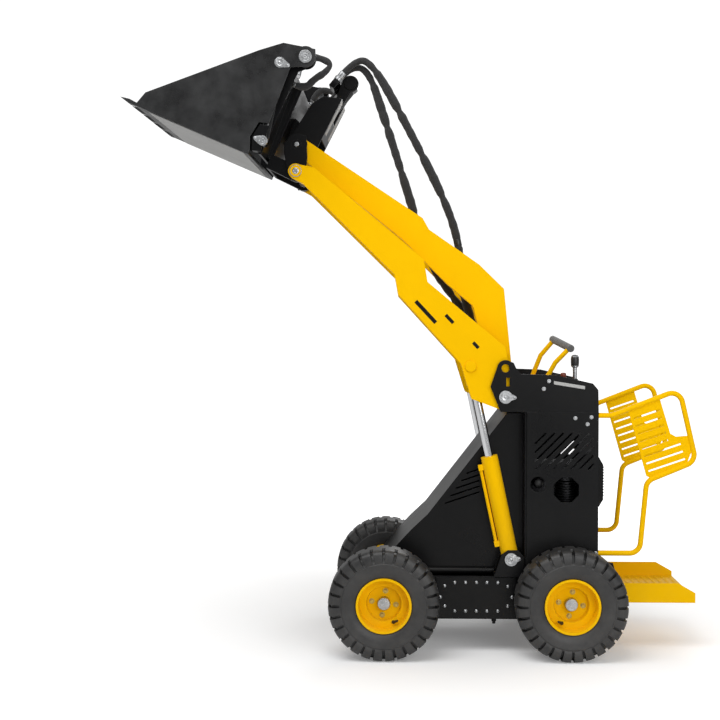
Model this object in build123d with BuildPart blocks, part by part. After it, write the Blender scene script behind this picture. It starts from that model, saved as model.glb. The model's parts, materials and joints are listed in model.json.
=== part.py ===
"""Stand-on mini loader with a parallel-lift boom and a four-in-one bucket, in millimetres.

Built in the rest pose: boom raised, bucket curled back, jaw closed.
Side views use X forward from the middle of the wheelbase and Z up from the ground. +Y is the left side.
"""
import os
from math import atan2, cos, degrees, hypot, radians, sin, sqrt

from build123d import *

os.makedirs("parts", exist_ok=True)

# wheels
WHEELBASE = 761.0
TYRE_OD = 454.0
TYRE_W = 175.0
WIDTH_OVER_TYRES = 1000.0
RIM_R = 108.0  # tyre bore
FLANGE = 5.0  # rim flange above the tyre bore
AXLE_R = 25.0
HUB_R = 52.0
LUGS = 28  # a side
GROOVE = 12.0  # between lugs
GROOVE_DEEP = 13.0
RIB = 24.0  # half of the plain rib round the middle of the tread
# sideways places, from the middle plane
TUB_GAP = 25.0  # tyre to the side of the lower frame
PANEL_GAP = 7.0  # tyre to the console and housing plates
PLATE = 10.0  # thick plates
SHEET = 5.0  # sheet panels
SIDE_GAP = 5.0  # between moving plates
ARM_W = 60.0  # boom arm, across
LINK_W = 52.0  # levelling link, across
WALL = 8.0  # boom arm wall
# lift linkage
PIVOT = (-120.5, 1063.5)  # boom pivot on the tower
BOOM_L = 1276.0
BOOM_UP = 47.1  # boom angle at rest, degrees
LINK_RISE = 119.0  # link pins above the boom pins
PIN_R = 20.0
PIN_FIT = 0.05  # running clearance on the radius
LIFT_BASE = (-146.0, 389.0)  # cylinder foot on the frame
LIFT_EYE = (190.0, -19.0)  # rod eye, along and above the boom line
LIFT_BARREL_R = 35.0
LIFT_BARREL_L = 435.0
LIFT_ROD_R = 17.0
# bucket and its tilt
CURL = 23.4  # bucket floor, nose up at rest, degrees
BUCKET_W = 1020.0
TILT_EYE = (-23.0, 170.0)  # rod eye, from the boom's front pin
TILT_TOP = (-217.0, 403.0)  # upper cylinder pin, from the boom's front pin
TILT_BARREL_R = 36.0
TILT_BARREL_L = 262.0
TILT_ROD_R = 16.0
JAW_HINGE = (120.0, 417.0)  # in the bucket's own side view
JAW_FOOT = (145.0, 44.0)  # jaw cylinder on the back blade
JAW_EYE = (205.0, 356.0)  # jaw cylinder on the jaw
JAW_BARREL_R = 20.0
JAW_BARREL_L = 235.0
JAW_ROD_R = 10.0
POCKET = 48.0  # side pocket that holds the jaw cylinder
TEETH = 5
TOOTH_W = 60.0
# body
TUB_Z = (137.0, 316.0)
TUB_X = (-500.0, 415.0)
BULKHEAD_X = -212.0
HOUSING_REAR = -510.0
CONSOLE_Z = 1002.0
# stand and rails
STAND_GAP = 50.0  # side of the lower frame to the side of the stand
STAND_REAR = -920.0
STAND_Z = (199.0, 281.0)
RAIL_R = 11.0
RAIL_INSET = 11.0  # rail centre inside the housing plates

AXLE_Z = TYRE_OD / 2
TYRE_IN = WIDTH_OVER_TYRES / 2 - TYRE_W
WHEEL_Y = TYRE_IN + TYRE_W / 2
TUB_Y = TYRE_IN - TUB_GAP
PANEL_Y = TYRE_IN - PANEL_GAP
RAIL_Y = PANEL_Y - RAIL_INSET
STAND_W = 2 * (TUB_Y - STAND_GAP)
EAR_IN = PANEL_Y - PLATE
ARM_OUT = EAR_IN - SIDE_GAP
ARM_IN = ARM_OUT - ARM_W
CHEEK_OUT = ARM_IN - SIDE_GAP  # plate between boom and link
CHEEK_IN = CHEEK_OUT - PLATE
LINK_OUT = CHEEK_IN - SIDE_GAP
LINK_IN = LINK_OUT - LINK_W
CORE_OUT = LINK_IN - SIDE_GAP  # plate inside the link
CORE_IN = CORE_OUT - PLATE
LIFT_Y = (ARM_OUT + ARM_IN) / 2
BODY_Y = CHEEK_IN - SIDE_GAP  # narrow front body
HALF_BUCKET = BUCKET_W / 2
HOLE_R = PIN_R + PIN_FIT
UP = radians(BOOM_UP)
NOSE = radians(CURL)
TIP = (739.0, -19.0)  # tooth tip in the bucket's side view
FRONT_PIN = (PIVOT[0] + BOOM_L * cos(UP), PIVOT[1] + BOOM_L * sin(UP))
MID_X = (FRONT_PIN[0] + TIP[0] * cos(NOSE) - TIP[1] * sin(NOSE) + STAND_REAR) / 2


def frame(x, z, tilt=0.0):
    """Side views with their zero at x, z, turned nose up by tilt degrees."""
    turn = radians(tilt)

    def at(y):
        return Plane(origin=(x - MID_X, y, z), x_dir=(cos(turn), 0, sin(turn)), z_dir=(0, -1, 0))

    return at


def both(y1, y2):
    """A span on the left and the same on the right."""
    return ((y1, y2), (-y2, -y1))


def slab(view, points, y1, y2, mode=Mode.ADD):
    """A plate with this side-view outline, from y1 to y2."""
    with BuildSketch(view(y2)) as outline:
        with BuildLine():
            Polyline(*points, close=True)
        make_face()
    extrude(outline.sketch, amount=y2 - y1, mode=mode)


def disc(view, x, z, r, y1, y2, mode=Mode.ADD):
    """A round across the machine, from y1 to y2."""
    with BuildSketch(view(y2)) as ring:
        with Locations((x, z)):
            Circle(r)
    extrude(ring.sketch, amount=y2 - y1, mode=mode)


def box(x1, x2, y1, y2, z1, z2, mode=Mode.ADD):
    """A block between two corners, X from the middle of the wheelbase."""
    slab(GROUND, ((x1, z1), (x2, z1), (x2, z2), (x1, z2)), y1, y2, mode)


def save(part, name):
    part.label = name
    export_step(part, f"parts/{name}.step")


def toward(start, end):
    """Length and side-view angle from one point to another."""
    dx = end[0] - start[0]
    dz = end[1] - start[1]
    return hypot(dx, dz), degrees(atan2(dz, dx))


GROUND = frame(0, 0)
BOOM = frame(*PIVOT, BOOM_UP)
LINK = frame(PIVOT[0], PIVOT[1] + LINK_RISE, BOOM_UP)
HEAD = frame(*FRONT_PIN)
BUCKET = frame(*FRONT_PIN, CURL)

# wheels: the tyre's half section as half width and radius, then the rim's
TYRE_HALF = (
    (70.0, RIM_R),
    (70.0, RIM_R + FLANGE),
    (TYRE_W / 2, RIM_R + 40.0),
    (TYRE_W / 2, TYRE_OD / 2 - 44.0),
    (TYRE_W / 2 - 9.0, TYRE_OD / 2 - 14.0),
    (TYRE_W / 2 - 24.0, TYRE_OD / 2),
)
RIM_SECTION = (
    (-76.0, RIM_R + FLANGE),
    (-70.0, RIM_R + FLANGE),
    (-70.0, RIM_R),
    (70.0, RIM_R),
    (70.0, RIM_R + FLANGE),
    (76.0, RIM_R + FLANGE),
    (76.0, RIM_R - 5),
    (25.0, RIM_R - 9),
    (25.0, HUB_R + 20),
    (2.0, HUB_R + 16),
    (2.0, AXLE_R + PIN_FIT),
    (-86.0, AXLE_R + PIN_FIT),
    (-86.0, HUB_R),
    (-8.0, HUB_R),
    (-8.0, HUB_R + 24),
    (15.0, HUB_R + 28),
    (15.0, RIM_R - 9),
    (-76.0, RIM_R - 5),
)
WHEELS = (
    # name, along the wheelbase, side
    ("front_left", 1, 1),
    ("front_right", 1, -1),
    ("rear_left", -1, 1),
    ("rear_right", -1, -1),
)
for name, end, hand in WHEELS:
    hub = (end * WHEELBASE / 2 - MID_X, hand * WHEEL_Y, AXLE_Z)
    across = Plane(origin=hub, x_dir=(0, hand, 0), z_dir=(hand, 0, 0))
    axle = Axis(hub, (0, 1, 0))
    tyre_section = TYRE_HALF + tuple((-w, r) for w, r in reversed(TYRE_HALF))
    with BuildPart() as tyre:
        with BuildSketch(across):
            with BuildLine():
                Polyline(*tyre_section, close=True)
            make_face()
        revolve(axis=axle)
        for way, start in ((1, 0.0), (-1, 180.0 / LUGS)):
            shoulder = Plane(origin=(hub[0], hub[1] + way * RIB, hub[2]), x_dir=(1, 0, 0), z_dir=(0, way, 0))
            with BuildSketch(shoulder) as grooves:
                with PolarLocations(TYRE_OD / 2, LUGS, start_angle=start):
                    Rectangle(2 * GROOVE_DEEP, GROOVE)
            extrude(grooves.sketch, amount=TYRE_W / 2, mode=Mode.SUBTRACT)
    save(tyre.part, f"tyre_{name}")
    with BuildPart() as rim:
        with BuildSketch(across):
            with BuildLine():
                Polyline(*RIM_SECTION, close=True)
            make_face()
        revolve(axis=axle)
    save(rim.part, f"rim_{name}")

# axle stubs, one solid a wheel
AXLE_END = WHEEL_Y + 8.0
NUT_R = 26.0
with BuildPart() as axles:
    for end in (1, -1):
        for y1, y2 in both(TUB_Y, AXLE_END):
            disc(GROUND, end * WHEELBASE / 2, AXLE_Z, AXLE_R, y1, y2)
        for y1, y2 in both(AXLE_END, AXLE_END + 22):
            disc(GROUND, end * WHEELBASE / 2, AXLE_Z, NUT_R - 4, y1, y2)
        for y1, y2 in both(TUB_Y, TYRE_IN - SIDE_GAP):
            disc(GROUND, end * WHEELBASE / 2, AXLE_Z, HUB_R, y1, y2)
save(axles.part, "axle_stubs")

# lower frame: an open tub, the bulkhead and the feet of the lift cylinders
with BuildPart() as tub:
    box(*TUB_X, -TUB_Y, TUB_Y, *TUB_Z)
    inner_x = (TUB_X[0] + PLATE, TUB_X[1] - PLATE)
    box(*inner_x, PLATE - TUB_Y, TUB_Y - PLATE, TUB_Z[0] + PLATE, TUB_Z[1], Mode.SUBTRACT)
save(tub.part, "lower_frame")

COVER_X = (-168.0, 165.0)
for name, span in (("left", (TUB_Y, TUB_Y + 8)), ("right", (-TUB_Y - 8, -TUB_Y))):
    with BuildPart() as cover:
        box(*COVER_X, *span, TUB_Z[0] + 4, TUB_Z[1] - 4)
    save(cover.part, f"chain_cover_{name}")

with BuildPart() as bulkhead:
    box(BULKHEAD_X, BULKHEAD_X + PLATE, -EAR_IN, EAR_IN, TUB_Z[1], CONSOLE_Z + 108)
    tower = (
        (BULKHEAD_X + PLATE, CONSOLE_Z - 8),
        (PIVOT[0] + 20, PIVOT[1] - 60),
        (PIVOT[0] + 45, PIVOT[1]),
        (PIVOT[0] + 42, PIVOT[1] + LINK_RISE),
        (PIVOT[0] + 20, PIVOT[1] + LINK_RISE + 42),
        (PIVOT[0] - 40, PIVOT[1] + LINK_RISE + 20),
        (BULKHEAD_X + PLATE, CONSOLE_Z + 108),
    )
    for inner, outer in ((CHEEK_IN, CHEEK_OUT), (CORE_IN, CORE_OUT)):
        for y1, y2 in both(inner, outer):
            slab(GROUND, tower, y1, y2)
            disc(GROUND, PIVOT[0], PIVOT[1] + LINK_RISE, HOLE_R, y1, y2, Mode.SUBTRACT)
            disc(GROUND, *PIVOT, HOLE_R, y1, y2, Mode.SUBTRACT)
save(bulkhead.part, "tower_frame")

FOOT = (
    (LIFT_BASE[0] - 54, TUB_Z[1]),
    (LIFT_BASE[0] + 70, TUB_Z[1]),
    (LIFT_BASE[0] + 40, LIFT_BASE[1] + 20),
    (LIFT_BASE[0] + 14, LIFT_BASE[1] + 38),
    (LIFT_BASE[0] - 30, LIFT_BASE[1] + 38),
    (LIFT_BASE[0] - 54, LIFT_BASE[1] + 10),
)
FOOT_GAP = LIFT_BARREL_R + 1.0
for name, hand in (("left", 1), ("right", -1)):
    with BuildPart() as foot:
        inner_plate = (LIFT_Y - FOOT_GAP - PLATE, LIFT_Y - FOOT_GAP)
        outer_plate = (LIFT_Y + FOOT_GAP, PANEL_Y - 2)
        for inner, outer in (inner_plate, outer_plate):
            y1, y2 = sorted((hand * inner, hand * outer))
            slab(GROUND, FOOT, y1, y2)
            disc(GROUND, *LIFT_BASE, HOLE_R, y1, y2, Mode.SUBTRACT)
        y1, y2 = sorted((hand * (LIFT_Y - FOOT_GAP - PLATE), hand * (PANEL_Y - 2)))
        box(LIFT_BASE[0] - 54, LIFT_BASE[0] + 70, y1, y2, TUB_Z[1], TUB_Z[1] + PLATE)
    save(foot.part, f"cylinder_foot_{name}")

# console: outer plates with the ears that carry the boom, and the top cover
CONSOLE = (
    (PIVOT[0] + 20, CONSOLE_Z),
    (PIVOT[0] + 62, PIVOT[1] + 42),
    (PIVOT[0] + 33, PIVOT[1] + LINK_RISE + 8),
    (PIVOT[0] - 28, PIVOT[1] + LINK_RISE + 19),
    (PIVOT[0] - 62, CONSOLE_Z + 157),
    (-330.0, CONSOLE_Z + 152),
    (-480.0, CONSOLE_Z + 118),
    (-502.0, CONSOLE_Z + 92),
    (-504.0, CONSOLE_Z),
)
EAR_R = 34.0
ACCESS_R = 17.0
SLOT_AT = (PIVOT[0] - 10, PIVOT[1] + 62)
GREASE_SLOT = (
    (SLOT_AT[0] + 7, SLOT_AT[1] - 18),
    (SLOT_AT[0] + 7, SLOT_AT[1] + 18),
    (SLOT_AT[0] - 7, SLOT_AT[1] + 18),
    (SLOT_AT[0] - 7, SLOT_AT[1] - 18),
)
for name, span in (("left", (EAR_IN, PANEL_Y)), ("right", (-PANEL_Y, -EAR_IN))):
    with BuildPart() as ear:
        slab(GROUND, CONSOLE, *span)
        disc(GROUND, PIVOT[0], PIVOT[1] + LINK_RISE, EAR_R, *span)
        slab(GROUND, GREASE_SLOT, *span, Mode.SUBTRACT)
        disc(GROUND, *PIVOT, HOLE_R, *span, Mode.SUBTRACT)
        disc(GROUND, PIVOT[0], PIVOT[1] + LINK_RISE, ACCESS_R, *span, Mode.SUBTRACT)
    save(ear.part, f"console_side_{name}")

LEVER_X = -420.0
LEVER_Y = 200.0
LEVER_R = 9.0
with BuildPart() as console_top:
    lid = (
        (BULKHEAD_X, CONSOLE_Z + 126),
        (-330.0, CONSOLE_Z + 126),
        (-476.0, CONSOLE_Z + 94),
        (-496.0, CONSOLE_Z + 70),
        (-496.0, CONSOLE_Z),
        (-496.0 + SHEET, CONSOLE_Z),
        (-496.0 + SHEET, CONSOLE_Z + 70 - SHEET),
        (-476.0 + SHEET, CONSOLE_Z + 94 - SHEET),
        (-330.0, CONSOLE_Z + 126 - SHEET),
        (BULKHEAD_X, CONSOLE_Z + 126 - SHEET),
    )
    slab(GROUND, lid, -EAR_IN, EAR_IN)
    with BuildSketch(Plane(origin=(LEVER_X - MID_X, LEVER_Y, CONSOLE_Z))):
        Circle(LEVER_R)
    extrude(amount=200, mode=Mode.SUBTRACT)
save(console_top.part, "console_top")

# rear housing: side panels with the slots and the two openings, and the rear panel
HOUSING = ((-209.0, 350.0), (-209.0, CONSOLE_Z), (HOUSING_REAR + 6, CONSOLE_Z), (HOUSING_REAR + 6, 350.0))
SLOTS = 10  # a bank of slanted slots, each as long as the bank leaves it
SLOT_STEP = 36.0
SLOT_WIDE = 7.4
BANK_X = (-482.0, -244.0)
BANK_Z = (767.0, 913.0)
PORT_HOLE = (-256.0, 702.0)
PORT_HOLE_R = 32.0
WINDOW = (-372.0, 680.0)  # eight-sided opening in front of the engine
for name, span in (("left", (PANEL_Y - SHEET, PANEL_Y)), ("right", (-PANEL_Y, SHEET - PANEL_Y))):
    with BuildPart() as panel:
        slab(GROUND, HOUSING, *span)
        with BuildSketch(GROUND(span[1])) as holes:
            for i in range(SLOTS):
                line = BANK_X[1] + BANK_Z[1] - 41.0 - i * SLOT_STEP  # x + z along this slot
                x1 = min(BANK_X[1], line - BANK_Z[0])
                x2 = max(BANK_X[0], line - BANK_Z[1])
                with Locations(((x1 + x2) / 2, line - (x1 + x2) / 2)):
                    SlotCenterToCenter((x1 - x2) * sqrt(2), SLOT_WIDE, rotation=-45)
            with Locations(PORT_HOLE):
                Circle(PORT_HOLE_R)
            with Locations(WINDOW):
                RegularPolygon(56, 8, rotation=22.5)
        extrude(holes.sketch, amount=SHEET, mode=Mode.SUBTRACT)
    save(panel.part, f"housing_side_{name}")

with BuildPart() as rear_panel:
    inside = PANEL_Y - SHEET
    box(HOUSING_REAR + 6, HOUSING_REAR + 6 + SHEET, -inside, inside, 350, CONSOLE_Z)
    box(HOUSING_REAR + 6, TUB_X[0] + PLATE, -TUB_Y, TUB_Y, TUB_Z[1], 350 + SHEET)
save(rear_panel.part, "rear_panel")

# narrow front body, a bent shell with louvres
SHELL = (
    (BULKHEAD_X + PLATE, CONSOLE_Z - 11),
    (-134.0, CONSOLE_Z - 11),
    (198.0, 563.0),
    (265.0, 500.0),
    (324.0, 437.0),
    (400.0, 345.0),
    (TUB_X[1], TUB_Z[1]),
    (BULKHEAD_X + PLATE, TUB_Z[1]),
)
HOLLOW = (
    (BULKHEAD_X + PLATE, CONSOLE_Z - 11 - SHEET),
    (-136.5, CONSOLE_Z - 11 - SHEET),
    (193.5, 559.5),
    (261.0, 496.5),
    (320.0, 434.0),
    (395.0, 342.5),
    (TUB_X[1] - 2 * SHEET, TUB_Z[1]),
    (BULKHEAD_X + PLATE, TUB_Z[1]),
)
LOUVRES = 5
with BuildPart() as front_body:
    slab(GROUND, SHELL, -BODY_Y, BODY_Y)
    slab(GROUND, HOLLOW, SHEET - BODY_Y, BODY_Y - SHEET, Mode.SUBTRACT)
    for i in range(LOUVRES):
        x = 126.0 - 23 * i
        z = 612.0 + 32 * i
        rise = 0.34 * (x + 20)
        louvre = ((x, z), (-20, z + rise), (-20, z + rise - 7), (x, z - 7))
        slab(GROUND, louvre, -BODY_Y, BODY_Y, Mode.SUBTRACT)
save(front_body.part, "front_body")

with BuildPart() as engine:
    box(-470, -240, -150, 150, TUB_Z[0] + PLATE, 760)
save(engine.part, "engine_block")

with BuildPart() as cooler:
    guard = (
        (HOUSING_REAR + 6, 590), (HOUSING_REAR + 6, 800), (-528, 800), (-546, 768), (-546, 620), (-528, 590),
    )
    slab(GROUND, guard, -170, 170)
save(cooler.part, "cooler_guard")

# rails: tube path as corner points with bend radius, then the slotted plate
RAIL_PATH = (
    (HOUSING_REAR + 6, 417.0),
    (-676.0, 417.0),
    (-704.0, 716.0),
    (-905.0, 800.0),
    (-836.0, 1096.0),
    (-560.0, 988.0),
    (HOUSING_REAR + 6, 988.0),
)
RAIL_BEND = 45.0
GUARD_PLATE = (
    (-625.0, 1011.0), (-755.0, 1059.0), (-799.0, 914.0), (-822.0, 901.0), (-872.0, 905.0),
    (-888.0, 842.0), (-870.0, 796.0), (-852.0, 778.0), (-720.0, 728.0), (-702.0, 738.0),
)
RAIL_SLOTS = (5, 3)  # short ones beside the hand hole, long ones under it
SLOT_LENGTH = (112.0, 158.0)
LEAN = radians(19.0)
for name, y in (("left", RAIL_Y), ("right", -RAIL_Y)):
    with BuildPart() as rail:
        with BuildLine(GROUND(y)) as path:
            FilletPolyline(*RAIL_PATH, radius=RAIL_BEND)
        with BuildSketch(path.line ^ 0):
            Circle(RAIL_R)
        sweep(path=path.line)
        slab(GROUND, GUARD_PLATE, y - 2, y + 2)
        for i in range(sum(RAIL_SLOTS)):
            x = -647.0 - 9 * i
            z = 978.0 - 31 * i
            length = SLOT_LENGTH[0] if i < RAIL_SLOTS[0] else SLOT_LENGTH[1]
            dx = -length * cos(LEAN)
            dz = length * sin(LEAN)
            slot = ((x, z), (x + dx, z + dz), (x + dx - 2, z + dz - 7), (x - 2, z - 7))
            slab(GROUND, slot, y - 2, y + 2, Mode.SUBTRACT)
    save(rail.part, f"rail_{name}")

# stand: side plates, floor and front lip, hung on two black ears
with BuildPart() as stand:
    half = STAND_W / 2
    cheek = (
        (-560.0, STAND_Z[0]),
        (STAND_REAR, STAND_Z[0]),
        (STAND_REAR, STAND_Z[0] + 41),
        (STAND_REAR + 72, STAND_Z[1]),
        (-560.0, STAND_Z[1]),
    )
    for y1, y2 in both(half - SHEET, half):
        slab(GROUND, cheek, y1, y2)
    box(STAND_REAR, -560, -half, half, STAND_Z[0] + 15, STAND_Z[0] + 20)
    box(STAND_REAR, STAND_REAR + SHEET, -half, half, STAND_Z[0], STAND_Z[0] + 20)
    box(-560 - SHEET, -560, -half, half, STAND_Z[0], STAND_Z[1])
save(stand.part, "stand_platform")

with BuildPart() as stand_ears:
    ear = (
        (TUB_X[0], 160.0), (TUB_X[0], 300.0), (-508.0, 312.0), (-540.0, 372.0),
        (-575.0, 366.0), (-610.0, 240.0), (-560.0, 190.0),
    )
    for y1, y2 in both(STAND_W / 2, STAND_W / 2 + PLATE):
        slab(GROUND, ear, y1, y2)
save(stand_ears.part, "stand_ears")

# controls: two legs that lean back to one slanting grip, and the lever with its knob
GRIP_R = 14.0
GRIP_OVER = 16.0  # past each leg
HANDLE_LEGS = (
    # sideways place, foot, knee and grip in the side view
    (-60.0, (-266.0, CONSOLE_Z + 132), (-303.0, CONSOLE_Z + 224), (-361.0, CONSOLE_Z + 292)),
    (100.0, (-313.0, CONSOLE_Z + 132), (-349.0, CONSOLE_Z + 197), (-410.0, CONSOLE_Z + 260)),
)
with BuildPart() as handle:
    tops = []
    for y, *corners in HANDLE_LEGS:
        with BuildLine(GROUND(y)) as path:
            FilletPolyline(*corners, radius=14)
        with BuildSketch(path.line ^ 0):
            Circle(10)
        sweep(path=path.line)
        tops.append(Vector(corners[-1][0] - MID_X, y, corners[-1][1]))
    way = (tops[1] - tops[0]).normalized()
    with BuildSketch(Plane(origin=tops[0] - way * GRIP_OVER, z_dir=way)):
        Circle(GRIP_R)
    extrude(amount=(tops[1] - tops[0]).length + 2 * GRIP_OVER)
    box(-328, -250, -80, 120, CONSOLE_Z + 126, CONSOLE_Z + 133)
save(handle.part, "control_handle")

KNOB_R = 16.0
with BuildPart() as lever:
    with BuildSketch(Plane(origin=(LEVER_X - MID_X, LEVER_Y, CONSOLE_Z + 90))):
        Circle(LEVER_R)
    extrude(amount=110)
    with BuildSketch(Plane(origin=(LEVER_X - MID_X, LEVER_Y, CONSOLE_Z + 184))):
        Circle(KNOB_R)
    extrude(amount=48)
    chamfer(lever.faces().sort_by(Axis.Z)[-1].edges(), 6)
save(lever.part, "control_lever")

# boom arms: hollow box, open below at the rear for the lift cylinder
ARM = (
    (BOOM_L + 8, 30), (BOOM_L - 40, 66), (647, 140), (568, 88), (295, 122), (150, 142), (20, 54), (-20, -54),
    (89, -108), (114, -97), (227, -42), (613, -37), (683, 8), (BOOM_L - 57, -14), (BOOM_L - 5, -31),
)
CORE = (
    (BOOM_L - 60, 58), (647, 130), (568, 78), (295, 112), (150, 132), (0, 54), (-20, 0), (-80, -120),
    (89, -120),
    (227, -60), (330, -60), (330, -27), (613, -28), (683, 17), (778, 11), (BOOM_L - 60, 0),
)
for name, hand in (("left", 1), ("right", -1)):
    with BuildPart() as arm:
        y1, y2 = sorted((hand * ARM_IN, hand * ARM_OUT))
        slab(BOOM, ARM, y1, y2)
        disc(BOOM, 0, 0, 58, y1, y2)
        disc(BOOM, BOOM_L, 0, 31, y1, y2)
        slab(BOOM, CORE, y1 + WALL, y2 - WALL, Mode.SUBTRACT)
        disc(BOOM, 0, 0, HOLE_R, y1, y2, Mode.SUBTRACT)
        disc(BOOM, BOOM_L, 0, HOLE_R, y1, y2, Mode.SUBTRACT)
    save(arm.part, f"boom_arm_{name}")

with BuildPart() as cross:
    disc(BOOM, 0.47 * BOOM_L, 20, 30, -ARM_IN, ARM_IN)
    disc(BOOM, 0.47 * BOOM_L, 20, 22, -ARM_IN, ARM_IN, Mode.SUBTRACT)
save(cross.part, "boom_cross_tube")

# levelling links, inside the arms
LINK_ARM = (
    (BOOM_L + 5, 37), (691, 176), (638, 163), (388, 217), (242, 224), (-5, 37), (5, -37), (60, -20),
    (210, 43), (277, 80), (417, 63), (682, 53), (BOOM_L - 85, -21), (BOOM_L - 5, -37),
)
LINK_CORE = (
    (BOOM_L - 80, 44), (691, 166), (638, 153), (388, 207), (246, 213), (80, 82), (230, 66), (275, 91),
    (419, 73),
    (682, 63), (BOOM_L - 80, -8),
)
for name, hand in (("left", 1), ("right", -1)):
    with BuildPart() as link:
        y1, y2 = sorted((hand * LINK_IN, hand * LINK_OUT))
        slab(LINK, LINK_ARM, y1, y2)
        disc(LINK, 0, 0, 38, y1, y2)
        disc(LINK, BOOM_L, 0, 38, y1, y2)
        slab(LINK, LINK_CORE, y1 + WALL, y2 - WALL, Mode.SUBTRACT)
        disc(LINK, 0, 0, HOLE_R, y1, y2, Mode.SUBTRACT)
        disc(LINK, BOOM_L, 0, HOLE_R, y1, y2, Mode.SUBTRACT)
    save(link.part, f"level_link_{name}")

with BuildPart() as link_cross:
    disc(LINK, 270, 150, 25, -LINK_IN, LINK_IN)
    disc(LINK, 270, 150, 18, -LINK_IN, LINK_IN, Mode.SUBTRACT)
save(link_cross.part, "link_cross_tube")

# carrier: ears on the boom pins, core plates, ties, back plate and the lugs of the tilt cylinder
LUG_IN = TILT_BARREL_R + 1.0
with BuildPart() as carrier:
    ear = (
        (30, -30), (38, 0), (54, 85), (54, 125), (10, LINK_RISE + 40), (-40, LINK_RISE + 36),
        (-44, 60), (-34, -24),
    )
    core = ((54, 85), (54, 125), (-60, 300), (-110, 330), (-187, 319), (-69, 88))
    tie = ((44, 85), (54, 85), (54, 125), (44, 125))
    for y1, y2 in both(CHEEK_IN, CHEEK_OUT):
        slab(HEAD, ear, y1, y2)
        disc(HEAD, 0, 0, 36, y1, y2)
        disc(HEAD, 0, LINK_RISE, 44, y1, y2)
        disc(HEAD, 0, 0, HOLE_R, y1, y2, Mode.SUBTRACT)
    for y1, y2 in both(CORE_IN, CORE_OUT):
        slab(HEAD, core, y1, y2)
    for y1, y2 in both(CORE_IN, CHEEK_OUT):
        slab(HEAD, tie, y1, y2)
        disc(HEAD, 0, LINK_RISE, HOLE_R, y1, y2, Mode.SUBTRACT)
    back = ((-100, 149), (-187, 319), (-178, 324), (-91, 154))
    for y1, y2 in both(LUG_IN + PLATE, CORE_IN):
        slab(HEAD, back, y1, y2)
    low_back = ((-100, 149), (-143, 233), (-134, 238), (-91, 154))
    slab(HEAD, low_back, -LUG_IN - PLATE, LUG_IN + PLATE)
    top_lug = ((-178, 300), (-190, 319), (-245, 405), (-232, 432), (-205, 434), (-180, 405), (-150, 318))
    for y1, y2 in both(LUG_IN, LUG_IN + PLATE):
        slab(HEAD, top_lug, y1, y2)
        disc(HEAD, *TILT_TOP, 34, y1, y2)
        disc(HEAD, *TILT_TOP, HOLE_R, y1, y2, Mode.SUBTRACT)
save(carrier.part, "tilt_carrier")

# hitch: arms on the boom pins, plate behind the bucket, lugs of the tilt rod
HITCH_IN = LINK_IN + 7.0
HITCH_OUT = LINK_OUT - 7.0
HITCH_X = (118.0, 130.0)
ROD_LUG = 26.0
EYE_X = TILT_EYE[0] * cos(NOSE) + TILT_EYE[1] * sin(NOSE)
EYE_Z = TILT_EYE[1] * cos(NOSE) - TILT_EYE[0] * sin(NOSE)
with BuildPart() as hitch:
    arm = ((0, 36), (-30, 20), (-36, 0), (-26, -26), (0, -36), (HITCH_X[1], -30), (HITCH_X[1], 30), (30, 30))
    for y1, y2 in both(HITCH_IN, HITCH_OUT):
        slab(BUCKET, arm, y1, y2)
        disc(BUCKET, 0, 0, 36, y1, y2)
        disc(BUCKET, 0, 0, HOLE_R, y1, y2, Mode.SUBTRACT)
    face = ((HITCH_X[0], -30), (HITCH_X[1], -30), (HITCH_X[1], 330), (HITCH_X[0], 330))
    slab(BUCKET, face, -HITCH_OUT, HITCH_OUT)
    lug = (
        (HITCH_X[0], EYE_Z + 60), (EYE_X, EYE_Z + 32), (EYE_X - 28, EYE_Z + 14), (EYE_X - 28, EYE_Z - 14),
        (EYE_X, EYE_Z - 32), (HITCH_X[0], EYE_Z - 60),
    )
    for y1, y2 in both(ROD_LUG, ROD_LUG + PLATE):
        slab(BUCKET, lug, y1, y2)
save(hitch.part, "hitch_frame")

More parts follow.
